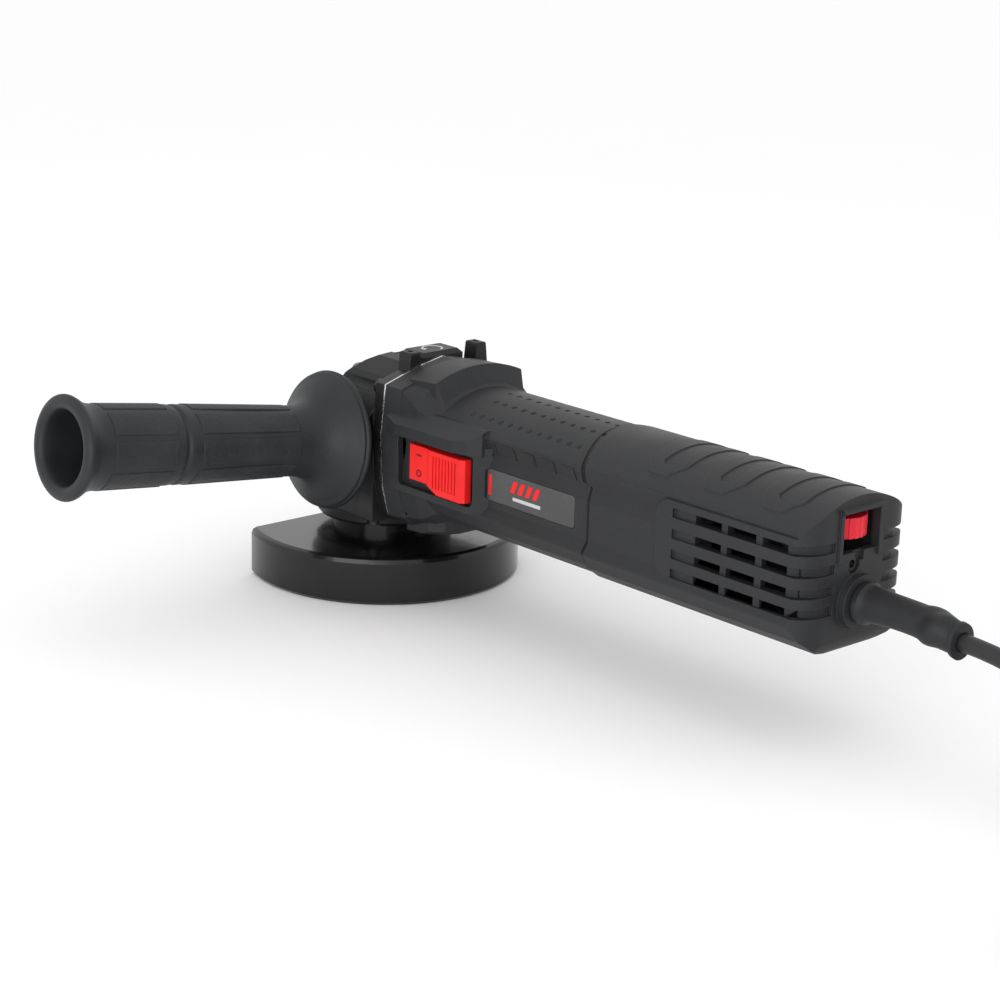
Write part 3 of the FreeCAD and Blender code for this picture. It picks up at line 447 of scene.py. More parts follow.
HOUSING_BLACK = Moulded("housing_black", colour=(0.022, 0.0226, 0.0243), speck_and_edge_highlight=(0.058, 0.0595, 0.064),
                        rough=0.5, strength=0.5, seam=True)
HEAD_BLACK = Moulded("head_black", colour=(0.010, 0.0105, 0.011), speck_and_edge_highlight=(0.03, 0.031, 0.032), rough=0.42,
                    grain=1100.0, strength=0.4)
NYLON_BLACK = Moulded("nylon_black", colour=(0.018, 0.018, 0.019), rough=0.6)
KNOB_RED = Moulded("knob_red", colour=(0.86, 0.012, 0.012), speck_and_edge_highlight=(0.95, 0.03, 0.03),
                   rough=0.42, strength=0.12)
MARK_RED = Moulded("mark_red", colour=(0.22, 0.004, 0.005), speck_and_edge_highlight=(0.3, 0.01, 0.01),
                   rough=0.5, strength=0.05)
DIAL_RED = Moulded("dial_red", colour=(0.80, 0.02, 0.045), speck_and_edge_highlight=(0.92, 0.08, 0.1),
                   rough=0.35, strength=0.12)
LABEL_GREY = Moulded("label_grey", colour=(0.055, 0.055, 0.057), speck_and_edge_highlight=(0.09, 0.09, 0.09), rough=0.26,
                     strength=0.05, coat=0.3)
BUTTON_BLACK = Moulded("button_black", colour=(0.02, 0.02, 0.02), rough=0.3, strength=0.1)
POTTING = Moulded("potting_blue_black", colour=(0.03, 0.035, 0.05), rough=0.35)
CARBON = Moulded("carbon_black", colour=(0.02, 0.02, 0.021), rough=0.7)
GUARD_ENAMEL = Enamel("guard_enamel")
BLACK_STEEL = Machined("blackened_steel", colour=(0.06, 0.06, 0.062), rough=0.42)
TURNED_STEEL = Machined("turned_steel")
BARE_ALLOY = Machined("bare_alloy", colour=(0.82, 0.82, 0.84), rough=0.22)
NICKEL = Machined("nickel_plate", colour=(0.78, 0.75, 0.7), rough=0.18)
BRASS = Machined("pressed_brass", colour=(0.78, 0.57, 0.25), rough=0.28)
BRONZE = Machined("sintered_bronze", colour=(0.5, 0.34, 0.17), rough=0.45)
LAMINATIONS = Banded("core_laminations", bands=320.0)
WINDINGS = Banded("copper_windings", dark=(0.35, 0.1, 0.03), light=(0.8, 0.33, 0.14), bands=420.0, rough=0.3)
COMMUTATOR = Banded("commutator_copper", dark=(0.5, 0.2, 0.1), light=(0.85, 0.42, 0.25), bands=900.0,
                    rough=0.25)
BLACK_RUBBER = Rubber("black_rubber")
GRIP_SKIN = Rubber("grip_skin", colour=(0.010, 0.0115, 0.013), bloom_and_edge_highlight=(0.022, 0.025, 0.028),
                   rough=0.5, pebble=600.0)
PAD_SKIN = Rubber("pad_skin", colour=(0.011, 0.0125, 0.014), bloom_and_edge_highlight=(0.026, 0.029, 0.032), rough=0.56,
                  pebble=420.0, strength=0.6, depth=0.0003)
CORD_RUBBER = Rubber("cord_rubber", colour=(0.012, 0.012, 0.013), bloom_and_edge_highlight=(0.03, 0.03, 0.032), rough=0.42,
                     pebble=1600.0, strength=0.15)
PALE_PRINT = Moulded("pale_print", colour=(0.55, 0.55, 0.56), speck_and_edge_highlight=(0.7, 0.7, 0.7),
                     rough=0.4, strength=0.05)

SLOT_FINISH: dict[str, Finish] = {
    "moulded_black": HOUSING_BLACK, "label": LABEL_GREY, "cast_black": HEAD_BLACK, "steel": TURNED_STEEL,
    "bare_plate": BARE_ALLOY, "bronze": BRONZE, "rubber_black": BLACK_RUBBER, "laminations": LAMINATIONS,
    "copper": WINDINGS, "nylon_black": NYLON_BLACK, "brass": BRASS, "carbon": CARBON, "potting": POTTING,
    "grip": GRIP_SKIN, "black_steel": BLACK_STEEL, "cord": CORD_RUBBER, "tie": NYLON_BLACK,
    "plug": BLACK_RUBBER, "nickel": NICKEL, "red_knob": KNOB_RED, "red_dial": DIAL_RED,
    "button_black": BUTTON_BLACK, "guard_black": GUARD_ENAMEL,
}

NODE_FINISH: dict[str, Finish] = {
    "commutator": COMMUTATOR, "bearing_cover_screws": BLACK_STEEL, "guard_clamp_screw": BLACK_STEEL,
    "gear_case_screws": BLACK_STEEL,
}


# --- Making pieces ---------------------------------------------------------------------------
def dress(obj: bpy.types.Object, finish: Finish) -> None:
    """Gives a mesh or curve one finish all over."""
    obj.data.materials.clear()
    obj.data.materials.append(finish.material)


def hand_over(obj: bpy.types.Object, body: Body, slot: str, *replaced: str) -> bpy.types.Object:
    """Rides a finished piece on its body and hides the CAD nodes it stands for.

    Args:
        obj: the finished piece.
        body: the body it moves with.
        slot: the record's material slot; not used.
        *replaced: CAD nodes it replaces.

    Returns:
        The piece.
    """
    if replaced:
        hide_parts(*replaced)
    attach(obj, body.value)
    LOG.info("%s rides on %s", obj.name, body.value)
    return obj


class Builder:
    """Points and faces gathered in millimetres, then made into one object."""

    def __init__(self) -> None:
        """Starts empty."""
        self.points: list[Vector] = []
        self.faces: list[tuple[int, ...]] = []

    def rings(self, rings: Sequence[Sequence[Vector]], caps: bool = True, loop: bool = False) -> None:
        """Joins rings of equal count into a skin.

        Args:
            rings: the rings, in order.
            caps: whether the first and last rings are closed by a fan to their middle.
            loop: whether the last ring joins the first.
        """
        start, count = len(self.points), len(rings[0])
        for one in rings:
            self.points += list(one)
        total = len(rings)
        for i in range(total if loop else total - 1):
            a, b = start + i * count, start + ((i + 1) % total) * count
            for j in range(count):
                k = (j + 1) % count
                self.faces.append((a + j, a + k, b + k, b + j))
        if caps and not loop:
            ends = ((rings[0], start, True), (rings[-1], start + (total - 1) * count, False))
            for ring, base, flip in ends:
                middle = sum(ring, Vector()) / count
                self.points.append(middle)
                centre = len(self.points) - 1
                for j in range(count):
                    k = (j + 1) % count
                    self.faces.append((centre, base + k, base + j) if flip else (centre, base + j, base + k))

    def finish(self, name: str, smooth: float = 35.0) -> bpy.types.Object:
        """Makes the object, in metres, with its faces pointing outwards."""
        mesh = bpy.data.meshes.new(name)
        mesh.from_pydata([p * MM for p in self.points], [], self.faces)
        shape = bmesh.new()
        shape.from_mesh(mesh)
        bmesh.ops.remove_doubles(shape, verts=shape.verts, dist=1e-6)
        bmesh.ops.recalc_face_normals(shape, faces=shape.faces)
        shape.to_mesh(mesh)
        shape.free()
        smooth_by_angle(mesh, smooth)
        return link(name, mesh)


def lathe_rings(profile: Sequence[tuple[float, float]], origin: Vector, axis: Vector, count: int,
                bulge: Callable[[float, float], float] | None = None) -> list[list[Vector]]:
    """Rings of a turned shape.

    Args:
        profile: (radius, height) pairs along the axis.
        origin: where height is 0.
        axis: the axis, of unit length.
        count: points in a ring.
        bulge: what to add to the radius at (angle, height), or None.

    Returns:
        One ring a profile point.
    """
    side, up = perpendicular(axis)
    found = []
    for radius, height in profile:
        ring = []
        for j in range(count):
            angle = 2 * math.pi * j / count
            r = radius + (bulge(angle, height) if bulge else 0.0)
            ring.append(origin + axis * height + (side * math.cos(angle) + up * math.sin(angle)) * r)
        found.append(ring)
    return found


def eased(pairs: Sequence[tuple[float, float]], steps: int = 6) -> list[tuple[float, float]]:
    """A smooth line through (radius, height) pairs, by the usual four-point spline."""
    found = []
    for i in range(len(pairs) - 1):
        p0, p1 = pairs[max(i - 1, 0)], pairs[i]
        p2, p3 = pairs[i + 1], pairs[min(i + 2, len(pairs) - 1)]
        for k in range(steps):
            t = k / steps
            found.append(tuple(
                0.5 * (2 * b + (c - a) * t + (2 * a - 5 * b + 4 * c - d) * t * t
                       + (3 * b - a - 3 * c + d) * t ** 3)
                for a, b, c, d in zip(p0, p1, p2, p3)))
    return found + [tuple(pairs[-1])]


class NodeTree:
    """A Geometry Nodes tree with named inputs, run once and baked into a mesh."""

    def __init__(self, name: str) -> None:
        """Starts a tree with a geometry output."""
        self.tree = bpy.data.node_groups.new(name, "GeometryNodeTree")
        self.tree.interface.new_socket("Geometry", in_out="OUTPUT", socket_type="NodeSocketGeometry")
        self.source = self.tree.nodes.new("NodeGroupInput")
        self.sink = self.tree.nodes.new("NodeGroupOutput")
        self.values: dict[str, object] = {}

    def size(self, name: str, value: float | int | Vector) -> bpy.types.NodeSocket:
        """Adds a named input with its value.

        Args:
            name: the input's name.
            value: a number, whole number or vector; lengths in metres.

        Returns:
            The input's socket inside the tree.
        """
        if isinstance(value, Vector):
            kind = "NodeSocketVector"
        elif isinstance(value, int):
            kind = "NodeSocketInt"
        else:
            kind = "NodeSocketFloat"
        made = self.tree.interface.new_socket(name, in_out="INPUT", socket_type=kind)
        self.values[made.identifier] = value
        return self.source.outputs[name]

    def node(self, kind: str, **values: object) -> bpy.types.Node:
        """Adds a node and sets its properties."""
        made = self.tree.nodes.new(kind)
        for key, value in values.items():
            setattr(made, key, value)
        return made

    def join(self, out: bpy.types.NodeSocket, into: bpy.types.NodeSocket) -> None:
        """Links two sockets."""
        self.tree.links.new(out, into)

    def math(self, operation: str, a: bpy.types.NodeSocket | float,
             b: bpy.types.NodeSocket | float = 0.0) -> bpy.types.NodeSocket:
        """One arithmetic step."""
        made = self.node("ShaderNodeMath", operation=operation)
        for index, value in enumerate((a, b)):
            if isinstance(value, (int, float)):
                made.inputs[index].default_value = value
            else:
                self.join(value, made.inputs[index])
        return made.outputs[0]

    def vector(self, x: bpy.types.NodeSocket | float = 0.0, y: bpy.types.NodeSocket | float = 0.0,
               z: bpy.types.NodeSocket | float = 0.0) -> bpy.types.NodeSocket:
        """Three values as one vector."""
        made = self.node("ShaderNodeCombineXYZ")
        for index, value in enumerate((x, y, z)):
            if isinstance(value, (int, float)):
                made.inputs[index].default_value = value
            else:
                self.join(value, made.inputs[index])
        return made.outputs[0]

    def bake(self, name: str, geometry: bpy.types.NodeSocket, finish: Finish, place: Matrix,
             smooth: float = 35.0) -> bpy.types.Object:
        """Realizes the tree's geometry as a plain mesh in its place.

        Args:
            name: the piece's name.
            geometry: what the tree makes, instances included.
            finish: its finish.
            place: where the mesh goes, in metres.
            smooth: the angle below which its edges are smooth.

        Returns:
            The new object, at the origin.
        """
        real = self.node("GeometryNodeRealizeInstances")
        paint = self.node("GeometryNodeSetMaterial")
        paint.inputs["Material"].default_value = finish.material
        self.join(geometry, real.inputs[0])
        self.join(real.outputs[0], paint.inputs[0])
        self.join(paint.outputs[0], self.sink.inputs[0])
        holder = link(name + "_tree", bpy.data.meshes.new(name + "_tree"))
        modifier = holder.modifiers.new("tree", "NODES")
        modifier.node_group = self.tree
        for identifier, value in self.values.items():
            modifier[identifier] = tuple(value) if isinstance(value, Vector) else value
        bpy.context.view_layer.update()
        ready = holder.evaluated_get(bpy.context.evaluated_depsgraph_get())
        mesh = bpy.data.meshes.new_from_object(ready)
        bpy.data.objects.remove(holder)
        mesh.name = name
        mesh.transform(place)
        smooth_by_angle(mesh, smooth)
        return link(name, mesh)


# --- Studio ------------------------------------------------------------------------------
@dataclass
class Studio:
    """Camera, soft lights and a pale floor."""

    eye: Point = (813.59, -657.33, 334.32)
    yaw: float = 48.13
    pitch: float = 16.276
    roll: float = 1.577
    lens: float = 84.80
    floor_half: float = 6.0

    def camera(self) -> None:
        """Sets the scene's camera."""
        data = bpy.data.cameras.new("camera")
        data.lens = self.lens
        data.sensor_width = 36.0
        data.clip_start = 0.01
        obj = link("camera", data)
        a, e, r = (math.radians(v) for v in (self.yaw, self.pitch, self.roll))
        back = Vector((math.sin(a) * math.cos(e), -math.cos(a) * math.cos(e), math.sin(e)))
        right = Vector((math.cos(a), math.sin(a), 0.0))
        up = back.cross(right)
        right, up = (right * math.cos(r) + up * math.sin(r), up * math.cos(r) - right * math.sin(r))
        turn = Matrix((right, up, back)).transposed().to_4x4()
        obj.matrix_world = Matrix.Translation(metres(self.eye)) @ turn
        bpy.context.scene.camera = obj

    def softbox(self, name: str, place: Point, target: Point, size: tuple[float, float],
                power: float) -> None:
        """One rectangular area light aimed at target; places in millimetres, sizes in metres."""
        data = bpy.data.lights.new(name, "AREA")
        data.shape = "RECTANGLE"
        data.size, data.size_y = size
        data.energy = power
        obj = link(name, data)
        at = metres(place)
        aim = (metres(target) - at).to_track_quat("-Z", "Y")
        obj.matrix_world = Matrix.Translation(at) @ aim.to_matrix().to_4x4()

    def build(self) -> None:
        """Lights, world, floor and camera."""
        scene = bpy.context.scene
        scene.view_settings.view_transform = "Standard"
        scene.view_settings.look = "None"
        world = bpy.data.worlds.new("studio")
        world.use_nodes = True
        sky = world.node_tree.nodes["Background"]
        sky.inputs["Color"].default_value = (1.0, 1.0, 1.0, 1.0)
        sky.inputs["Strength"].default_value = 1.0
        scene.world = world
        middle = (130.0, 0.0, 50.0)
        self.softbox("top_light", (60.0, 120.0, 1100.0), middle, (1.0, 0.8), 0.3)
        self.softbox("front_light", (700.0, -1050.0, 260.0), middle, (1.1, 0.7), 7.0)
        self.softbox("back_light", (-200.0, 900.0, 500.0), middle, (1.2, 0.5), 0.3)
        floor = bpy.data.meshes.new("floor")
        z = FLOOR_Z * MM
        half = self.floor_half
        corners = [(-half, -half, z), (half, -half, z), (half, half, z), (-half, half, z)]
        floor.from_pydata(corners, [], [(0, 1, 2, 3)])
        obj = link("floor", floor)
        dress(obj, Floor("studio_floor"))
        self.camera()


# --- The cord ----------------------------------------------------------------------------
@dataclass
class MainsCord:
    """The flex from its boot to its plug, with the put-away length coiled and tied."""

    radius: float = 3.5
    length: float = 1.89
    centre: tuple[float, float] = (400.0, 47.5)
    lead: tuple[Point, ...] = ((331, 0, 52.8), (349, 0, 52.4), (366, 0, 46.6), (380, 0.3, 35.6),
                               (389.5, 1.0, 21.6))
    tail: tuple[Point, ...] = ((378.5, 1.0, 1.0), (393.5, -7.6, 1.0), (408.3, -21.4, 5.2),
                               (421.4, -38.3, 15.3), (432.3, -53.3, 15.3))
    upper: tuple[float, ...] = (47.5, 40.5, 33.5)
    lower: tuple[float, ...] = (30.0, 37.0, 44.0, 51.0)
    low_z: float = 1.1
    high_z: float = 7.2
    per_turn: int = 14
    first_angle: float = 275.0
    step_from: float = 0.72

    def coil(self) -> list[Point]:
        """The coil's points: inwards over the upper layer, then outwards under it."""
        turns = [(r, self.high_z) for r in self.upper] + [(r, self.low_z) for r in self.lower]
        start = math.radians(self.first_angle)
        found = []
        total = self.per_turn * len(turns) - 1
        for i in range(total):
            at = i / self.per_turn
            index = min(int(at), len(turns) - 1)
            share = at - index
            near, far = turns[index], turns[min(index + 1, len(turns) - 1)]
            ease = max(0.0, (share - self.step_from) / (1.0 - self.step_from))
            r = near[0] + (far[0] - near[0]) * ease
            z = near[1] + (far[1] - near[1]) * ease
            angle = start + 2 * math.pi * at
            found.append((self.centre[0] + r * math.cos(angle), self.centre[1] + r * math.sin(angle), z))
        return found

    def route(self) -> list[Point]:
        """Every control point of the cord, in millimetres."""
        return list(self.lead) + self.coil() + list(self.tail)

    def build(self) -> bpy.types.Object:
        """The cord as one smooth spline."""
        data = bpy.data.curves.new("mains_flex", "CURVE")
        data.dimensions = "3D"
        data.bevel_depth = self.radius * MM
        data.bevel_resolution = 5
        data.resolution_u = 8
        data.use_fill_caps = True
        points = self.route()
        spline = data.splines.new("NURBS")
        spline.points.add(len(points) - 1)
        for at, point in zip(spline.points, points):
            at.co = (*metres(point), 1.0)
        spline.order_u = 3
        spline.use_endpoint_u = True
        obj = link("mains_flex", data)
        dress(obj, CORD_RUBBER)
        hand_over(obj, Body.HOUSING, "cord", "mains_cord", "cord_coil")
        return obj


# --- The side handle -----------------------------------------------------------------------
@dataclass
class SideHandle:
    """The charcoal grip: a flanged guard plate, a waisted neck, textured pads and a flared hollow end."""

    base: Point = (10.4, -40.2, 65.2)
    lean: Point = (0.0, -1.0, 0.129)
    outline: tuple[tuple[float, float], ...] = (
        (29.9, 0.0), (30.5, 0.5), (30.7, 1.3), (30.4, 2.1), (29.7, 2.7), (30.0, 3.4),
        (29.5, 4.2), (27.6, 5.4), (25.2, 7.2), (22.4, 9.2), (19.6, 11.6), (17.4, 14.6),
        (16.1, 18.4), (15.6, 23.0), (15.6, 34.0), (15.8, 48.0), (16.3, 64.0), (16.9, 80.0),
        (17.0, 84.4), (16.3, 85.4), (16.3, 86.6), (17.0, 87.6), (17.2, 92.0), (17.5, 108.0),
        (17.8, 122.0), (18.2, 127.0), (19.2, 130.4), (20.6, 132.8), (21.5, 134.4), (21.9, 135.4),
        (21.9, 136.4), (21.3, 137.2), (20.0, 137.8), (18.6, 138.0), (17.2, 137.7), (16.2, 137.0),
        (15.6, 135.6))
    hollow: tuple[tuple[float, float], ...] = (
        (15.3, 132.0), (14.6, 110.0), (13.2, 70.0), (11.5, 35.0), (5.2, 34.6))
    stud_hole: float = 5.2
    line_depth: float = 0.14
    line_from: float = 6.0
    line_to: float = 131.0
    segments: int = 112

    @property
    def axis(self) -> Vector:
        """The way the handle points."""
        return Vector(self.lean).normalized()

    @property
    def frame(self) -> Matrix:
        """From the handle's own axes, with Z along it, to the tool's, in metres."""
        side, up = perpendicular(self.axis)
        return Matrix.Translation(metres(self.base)) @ Matrix((side, up, self.axis)).transposed().to_4x4()

    def parting_line(self, angle: float, height: float) -> float:
        """The thin mould line down both sides of the grip."""
        near = min(abs(math.sin(angle)) * 16.0, 1.0)
        inside = self.line_from < height < self.line_to
        return self.line_depth * (1.0 - near) if inside else 0.0

    def grip(self) -> bpy.types.Object:
        """The turned body, outside and in."""
        shape = Builder()
        base = Vector(self.base)
        outer = lathe_rings(eased(self.outline, 3), base, self.axis, self.segments, self.parting_line)
        inner = lathe_rings(self.hollow, base, self.axis, self.segments)
        foot = lathe_rings([(self.stud_hole, 0.0)], base, self.axis, self.segments)
        shape.rings(foot + outer + inner, caps=False)
        obj = shape.finish("handle_grip", 50.0)
        dress(obj, GRIP_SKIN)
        return hand_over(obj, Body.HOUSING, "grip", "side_handle_grip")

    def pads(self, name: str, start: float, length: float, radius: float, slope: float,
             count: int) -> bpy.types.Object:
        """A ring of textured pads wrapped on the grip.

        Args:
            name: the piece's name.
            start: the height of the pads' nearer end.
            length: their length along the grip.
            radius: the grip's radius at their middle.
            slope: how much it widens a millimetre of height.
            count: how many go round.

        Returns:
            The pads as one piece.
        """
        tree = NodeTree(name)
        size = tree.size("Pad length", length * MM)
        width = tree.size("Pad width", (2 * math.pi * radius / count - 2.6) * MM)
        thick = tree.size("Thickness", 1.2 * MM)
        middle = tree.size("Grip radius", (radius - 0.22) * MM)
        widen = tree.size("Widening", slope)
        number = tree.size("Pads", count)
        block = tree.node("GeometryNodeMeshCube")
        tree.join(tree.vector(width, thick, size), block.inputs["Size"])
        block.inputs["Vertices X"].default_value = 12
        block.inputs["Vertices Y"].default_value = 2
        block.inputs["Vertices Z"].default_value = 14
        split = tree.node("ShaderNodeSeparateXYZ")
        tree.join(tree.node("GeometryNodeInputPosition").outputs[0], split.inputs[0])
        grown = tree.math("ADD", middle, tree.math("MULTIPLY", split.outputs[2], widen))
        angle = tree.math("DIVIDE", split.outputs[0], middle)
        out = tree.math("ADD", grown, split.outputs[1])
        curved = tree.vector(tree.math("MULTIPLY", out, tree.math("COSINE", angle)),
                             tree.math("MULTIPLY", out, tree.math("SINE", angle)), split.outputs[2])
        bend = tree.node("GeometryNodeSetPosition")
        tree.join(block.outputs["Mesh"], bend.inputs["Geometry"])
        tree.join(curved, bend.inputs["Position"])
        spots = tree.node("GeometryNodeMeshLine")
        tree.join(number, spots.inputs["Count"])
        spots.inputs["Offset"].default_value = (0.0, 0.0, 0.0)
        turn = tree.math("MULTIPLY", tree.node("GeometryNodeInputIndex").outputs[0],
                         tree.math("DIVIDE", 2 * math.pi, number))
        placed = tree.node("GeometryNodeInstanceOnPoints")
        tree.join(spots.outputs[0], placed.inputs["Points"])
        tree.join(bend.outputs[0], placed.inputs["Instance"])
        tree.join(tree.vector(0.0, 0.0, turn), placed.inputs["Rotation"])
        place = self.frame @ Matrix.Translation((0, 0, (start + length / 2) * MM))
        obj = tree.bake(name, placed.outputs[0], PAD_SKIN, place, 40.0)
        soften(obj, 0.3, 2)
        return hand_over(obj, Body.HOUSING, "grip")

    def build(self) -> None:
        """The grip and its two rows of pads."""
        self.grip()
        self.pads("handle_pads_long", 27.0, 52.0, 16.15, 0.026, 8)
        self.pads("handle_pads_short", 91.5, 31.0, 17.45, 0.018, 8)


def soften(obj: bpy.types.Object, width: float, segments: int) -> None:
    """Rounds a piece's sharp edges by width, in millimetres."""
    bevel = obj.modifiers.new("rounded", "BEVEL")
    bevel.width = width * MM
    bevel.segments = segments
    bevel.limit_method = "ANGLE"
    bevel.angle_limit = math.radians(40.0)


# --- The cord's boot and plug -----------------------------------------------------------------
@dataclass
class CordBoot:
    """The rubber strain relief: ring, sleeve, a twisted fold near its end and a lip."""

    stations: tuple[tuple[float, float, float], ...] = (
        (267.5, 55.2, 6.6), (281.0, 55.2, 6.6), (284.6, 55.3, 6.6), (285.0, 55.4, 8.2), (287.4, 55.6, 8.3),
        (289.0, 55.7, 7.3), (292.0, 55.8, 6.9), (300.0, 55.9, 6.5), (308.0, 55.8, 6.4), (313.0, 55.5, 6.5),
        (316.5, 55.2, 7.0), (320.0, 54.9, 7.4), (323.5, 54.5, 7.2), (326.5, 53.9, 6.4), (328.4, 53.5, 6.0),
        (329.0, 53.3, 6.9), (330.6, 52.9, 6.9), (331.0, 52.8, 5.6))
    bore: float = 3.6
    mouth: tuple[float, float] = (331.0, 52.8)
    bore_end: tuple[float, float] = (316.0, 53.3)
    segments: int = 72
    fold_x: float = 320.5
    fold_length: float = 7.0
    fold_depth: float = 0.75

    def radius(self, angle: float, x: float, plain: float) -> float:
        """The sleeve's radius, with the two ridges of the fold winding round it."""
        away = (x - self.fold_x) / self.fold_length
        share = max(0.0, 1.0 - away * away)
        return plain + self.fold_depth * share * math.cos(2 * angle + (x - self.fold_x) * 0.32)

    def build(self) -> None:
        """The boot as one closed skin around the cord."""
        rings = []
        for x, z, plain in eased(self.stations[4:15], 4):
            rings.append(self.ring(x, z, plain))
        first = [self.ring(*station) for station in self.stations[:4]]
        last = [self.ring(*station) for station in self.stations[15:]]
        bore = [self.ring(*self.mouth, self.bore), self.ring(*self.bore_end, self.bore)]
        shape = Builder()
        shape.rings(first + rings + last + bore, caps=True)
        obj = shape.finish("flex_boot", 40.0)
        dress(obj, BLACK_RUBBER)
        hand_over(obj, Body.HOUSING, "rubber_black", "cord_boot")

    def ring(self, x: float, z: float, plain: float) -> list[Vector]:
        """One ring of the sleeve at x, about its middle height z."""
        found = []
        for j in range(self.segments):
            angle = 2 * math.pi * j / self.segments
            r = self.radius(angle, x, plain) if plain > self.bore else plain
            found.append(Vector((x, r * math.cos(angle), z + r * math.sin(angle))))
        return found


@dataclass
class PlugRibs:
    """Grip ribs round the waist of the mains plug."""

    start: Point = (432.3, -53.3, 15.3)
    way: Point = (10.9, -15.0, 0.0)
    count: int = 18
    radius: float = 12.6
    length: float = 9.0
    offset: float = 20.8

    def build(self) -> None:
        """A ring of slim ribs along the plug's shoulder."""
        tree = NodeTree("plug_ribs")
        number = tree.size("Ribs", self.count)
        radius = tree.size("Ring radius", self.radius * MM)
        size = tree.size("Rib size", Vector((2.2, 1.3, self.length)) * MM)
        rib = tree.node("GeometryNodeMeshCube")
        tree.join(size, rib.inputs["Size"])
        circle = tree.node("GeometryNodeMeshCircle", fill_type="NONE")
        tree.join(number, circle.inputs["Vertices"])
        tree.join(radius, circle.inputs["Radius"])
        turn = tree.math("MULTIPLY", tree.node("GeometryNodeInputIndex").outputs[0],
                         tree.math("DIVIDE", 2 * math.pi, number))
        placed = tree.node("GeometryNodeInstanceOnPoints")
        tree.join(circle.outputs[0], placed.inputs["Points"])
        tree.join(rib.outputs["Mesh"], placed.inputs["Instance"])
        tree.join(tree.vector(0.0, 0.82, turn), placed.inputs["Rotation"])
        axis = Vector(self.way).normalized()
        side, up = perpendicular(axis)
        place = Matrix.Translation(metres(self.start) + axis * self.offset * MM)
        place = place @ Matrix((side, up, axis)).transposed().to_4x4()
        obj = tree.bake("plug_ribs", placed.outputs[0], BLACK_RUBBER, place)
        soften(obj, 0.35, 2)
        hand_over(obj, Body.HOUSING, "plug")


# --- Marks and small trim ------------------------------------------------------------------------
@dataclass
class LabelMotif:
    """A plain motif on each name plate: slanted bars, a pale strip and a red end stripe."""

    bars: int = 4
    step: float = 4.6
    size: Point = (2.6, 0.24, 5.2)
    slant: float = 0.45
    face_y: float = 27.3
    middle: tuple[float, float] = (126.0, 66.0)

    def row(self, name: str, side: int) -> None:
        """The slanted bars on one side of the tool.

        Args:
            name: the piece's name.
            side: -1 for the switch side, 1 for the other.
        """
        tree = NodeTree(name)
        number = tree.size("Bars", self.bars)
        step = tree.size("Spacing", self.step * MM)
        size = tree.size("Bar size", Vector(self.size) * MM)
        slant = tree.size("Slant", self.slant)
        bar = tree.node("GeometryNodeMeshCube")
        tree.join(size, bar.inputs["Size"])
        split = tree.node("ShaderNodeSeparateXYZ")
        tree.join(tree.node("GeometryNodeInputPosition").outputs[0], split.inputs[0])
        leaned = tree.vector(tree.math("MULTIPLY", split.outputs[2], slant), 0.0, 0.0)
        lean = tree.node("GeometryNodeSetPosition")
        tree.join(bar.outputs["Mesh"], lean.inputs["Geometry"])
        tree.join(leaned, lean.inputs["Offset"])
        line = tree.node("GeometryNodeMeshLine")
        tree.join(number, line.inputs["Count"])
        tree.join(tree.vector(step), line.inputs["Offset"])
        placed = tree.node("GeometryNodeInstanceOnPoints")
        tree.join(line.outputs[0], placed.inputs["Points"])
        tree.join(lean.outputs[0], placed.inputs["Instance"])
        start = self.middle[0] - self.step * (self.bars - 1) / 2
        place = Matrix.Translation(metres((start, side * self.face_y, self.middle[1])))
        obj = tree.bake(name, placed.outputs[0], KNOB_RED, place)
        hand_over(obj, Body.HOUSING, "red_knob")

    def strip(self, name: str, side: int, x: float, z: float, size: tuple[float, float], finish: Finish,
              slot: str) -> None:
        """One thin printed rectangle with softened corners."""
        obj = slab(name, (x, side * self.face_y, z), (size[0], 0.2, size[1]))
        dress(obj, finish)
        soften(obj, 0.08, 1)
        hand_over(obj, Body.HOUSING, slot)

    def build(self) -> None:
        """The motif on both plates."""
        for side, word in ((-1, "right"), (1, "left")):
            self.row("label_bars_" + word, side)
            self.strip("label_strip_" + word, side, 127.0, 61.0, (17.0, 1.6), PALE_PRINT, "label")
            self.strip("label_stripe_" + word, side, 104.2, 64.0, (1.8, 9.0), KNOB_RED, "red_knob")


def slab(name: str, middle: Point, size: Point) -> bpy.types.Object:
    """A rectangular block about its middle, for trim whose edges are then rounded."""
    shape = Builder()
    x, y, z = (v / 2 for v in size)
    low = [Vector((sx * x, sy * y, -z)) + Vector(middle) for sx, sy in ((-1, -1), (1, -1), (1, 1), (-1, 1))]
    high = [p + Vector((0, 0, 2 * z)) for p in low]
    shape.points = low + high
    shape.faces = [(3, 2, 1, 0), (4, 5, 6, 7), (0, 1, 5, 4), (1, 2, 6, 5), (2, 3, 7, 6), (3, 0, 4, 7)]
    return shape.finish(name, 30.0)


@dataclass
class SwitchMarks:
    """The on and off signs moulded on the slide switch's flat front."""

    face_y: float = -35.1
    on: tuple[float, float] = (66.8, 69.6)
    off: tuple[float, float] = (66.8, 61.6)

    def build(self) -> None:
        """A bar for on, and a ring for off."""
        bar = slab("mark_on", (self.on[0], self.face_y, self.on[1]), (3.2, 0.4, 0.8))
        dress(bar, MARK_RED)
        soften(bar, 0.1, 1)
        hand_over(bar, Body.SWITCH, "red_knob")
        shape = Builder()
        profile = [(1.0, -0.2), (1.0, 0.2), (1.65, 0.2), (1.65, -0.2)]
        rings = lathe_rings(profile, Vector((self.off[0], self.face_y, self.off[1])), Vector((0, 1, 0)), 32)
        shape.rings(rings, loop=True)
        ring = shape.finish("mark_off", 30.0)
        dress(ring, MARK_RED)
        hand_over(ring, Body.SWITCH, "red_knob")


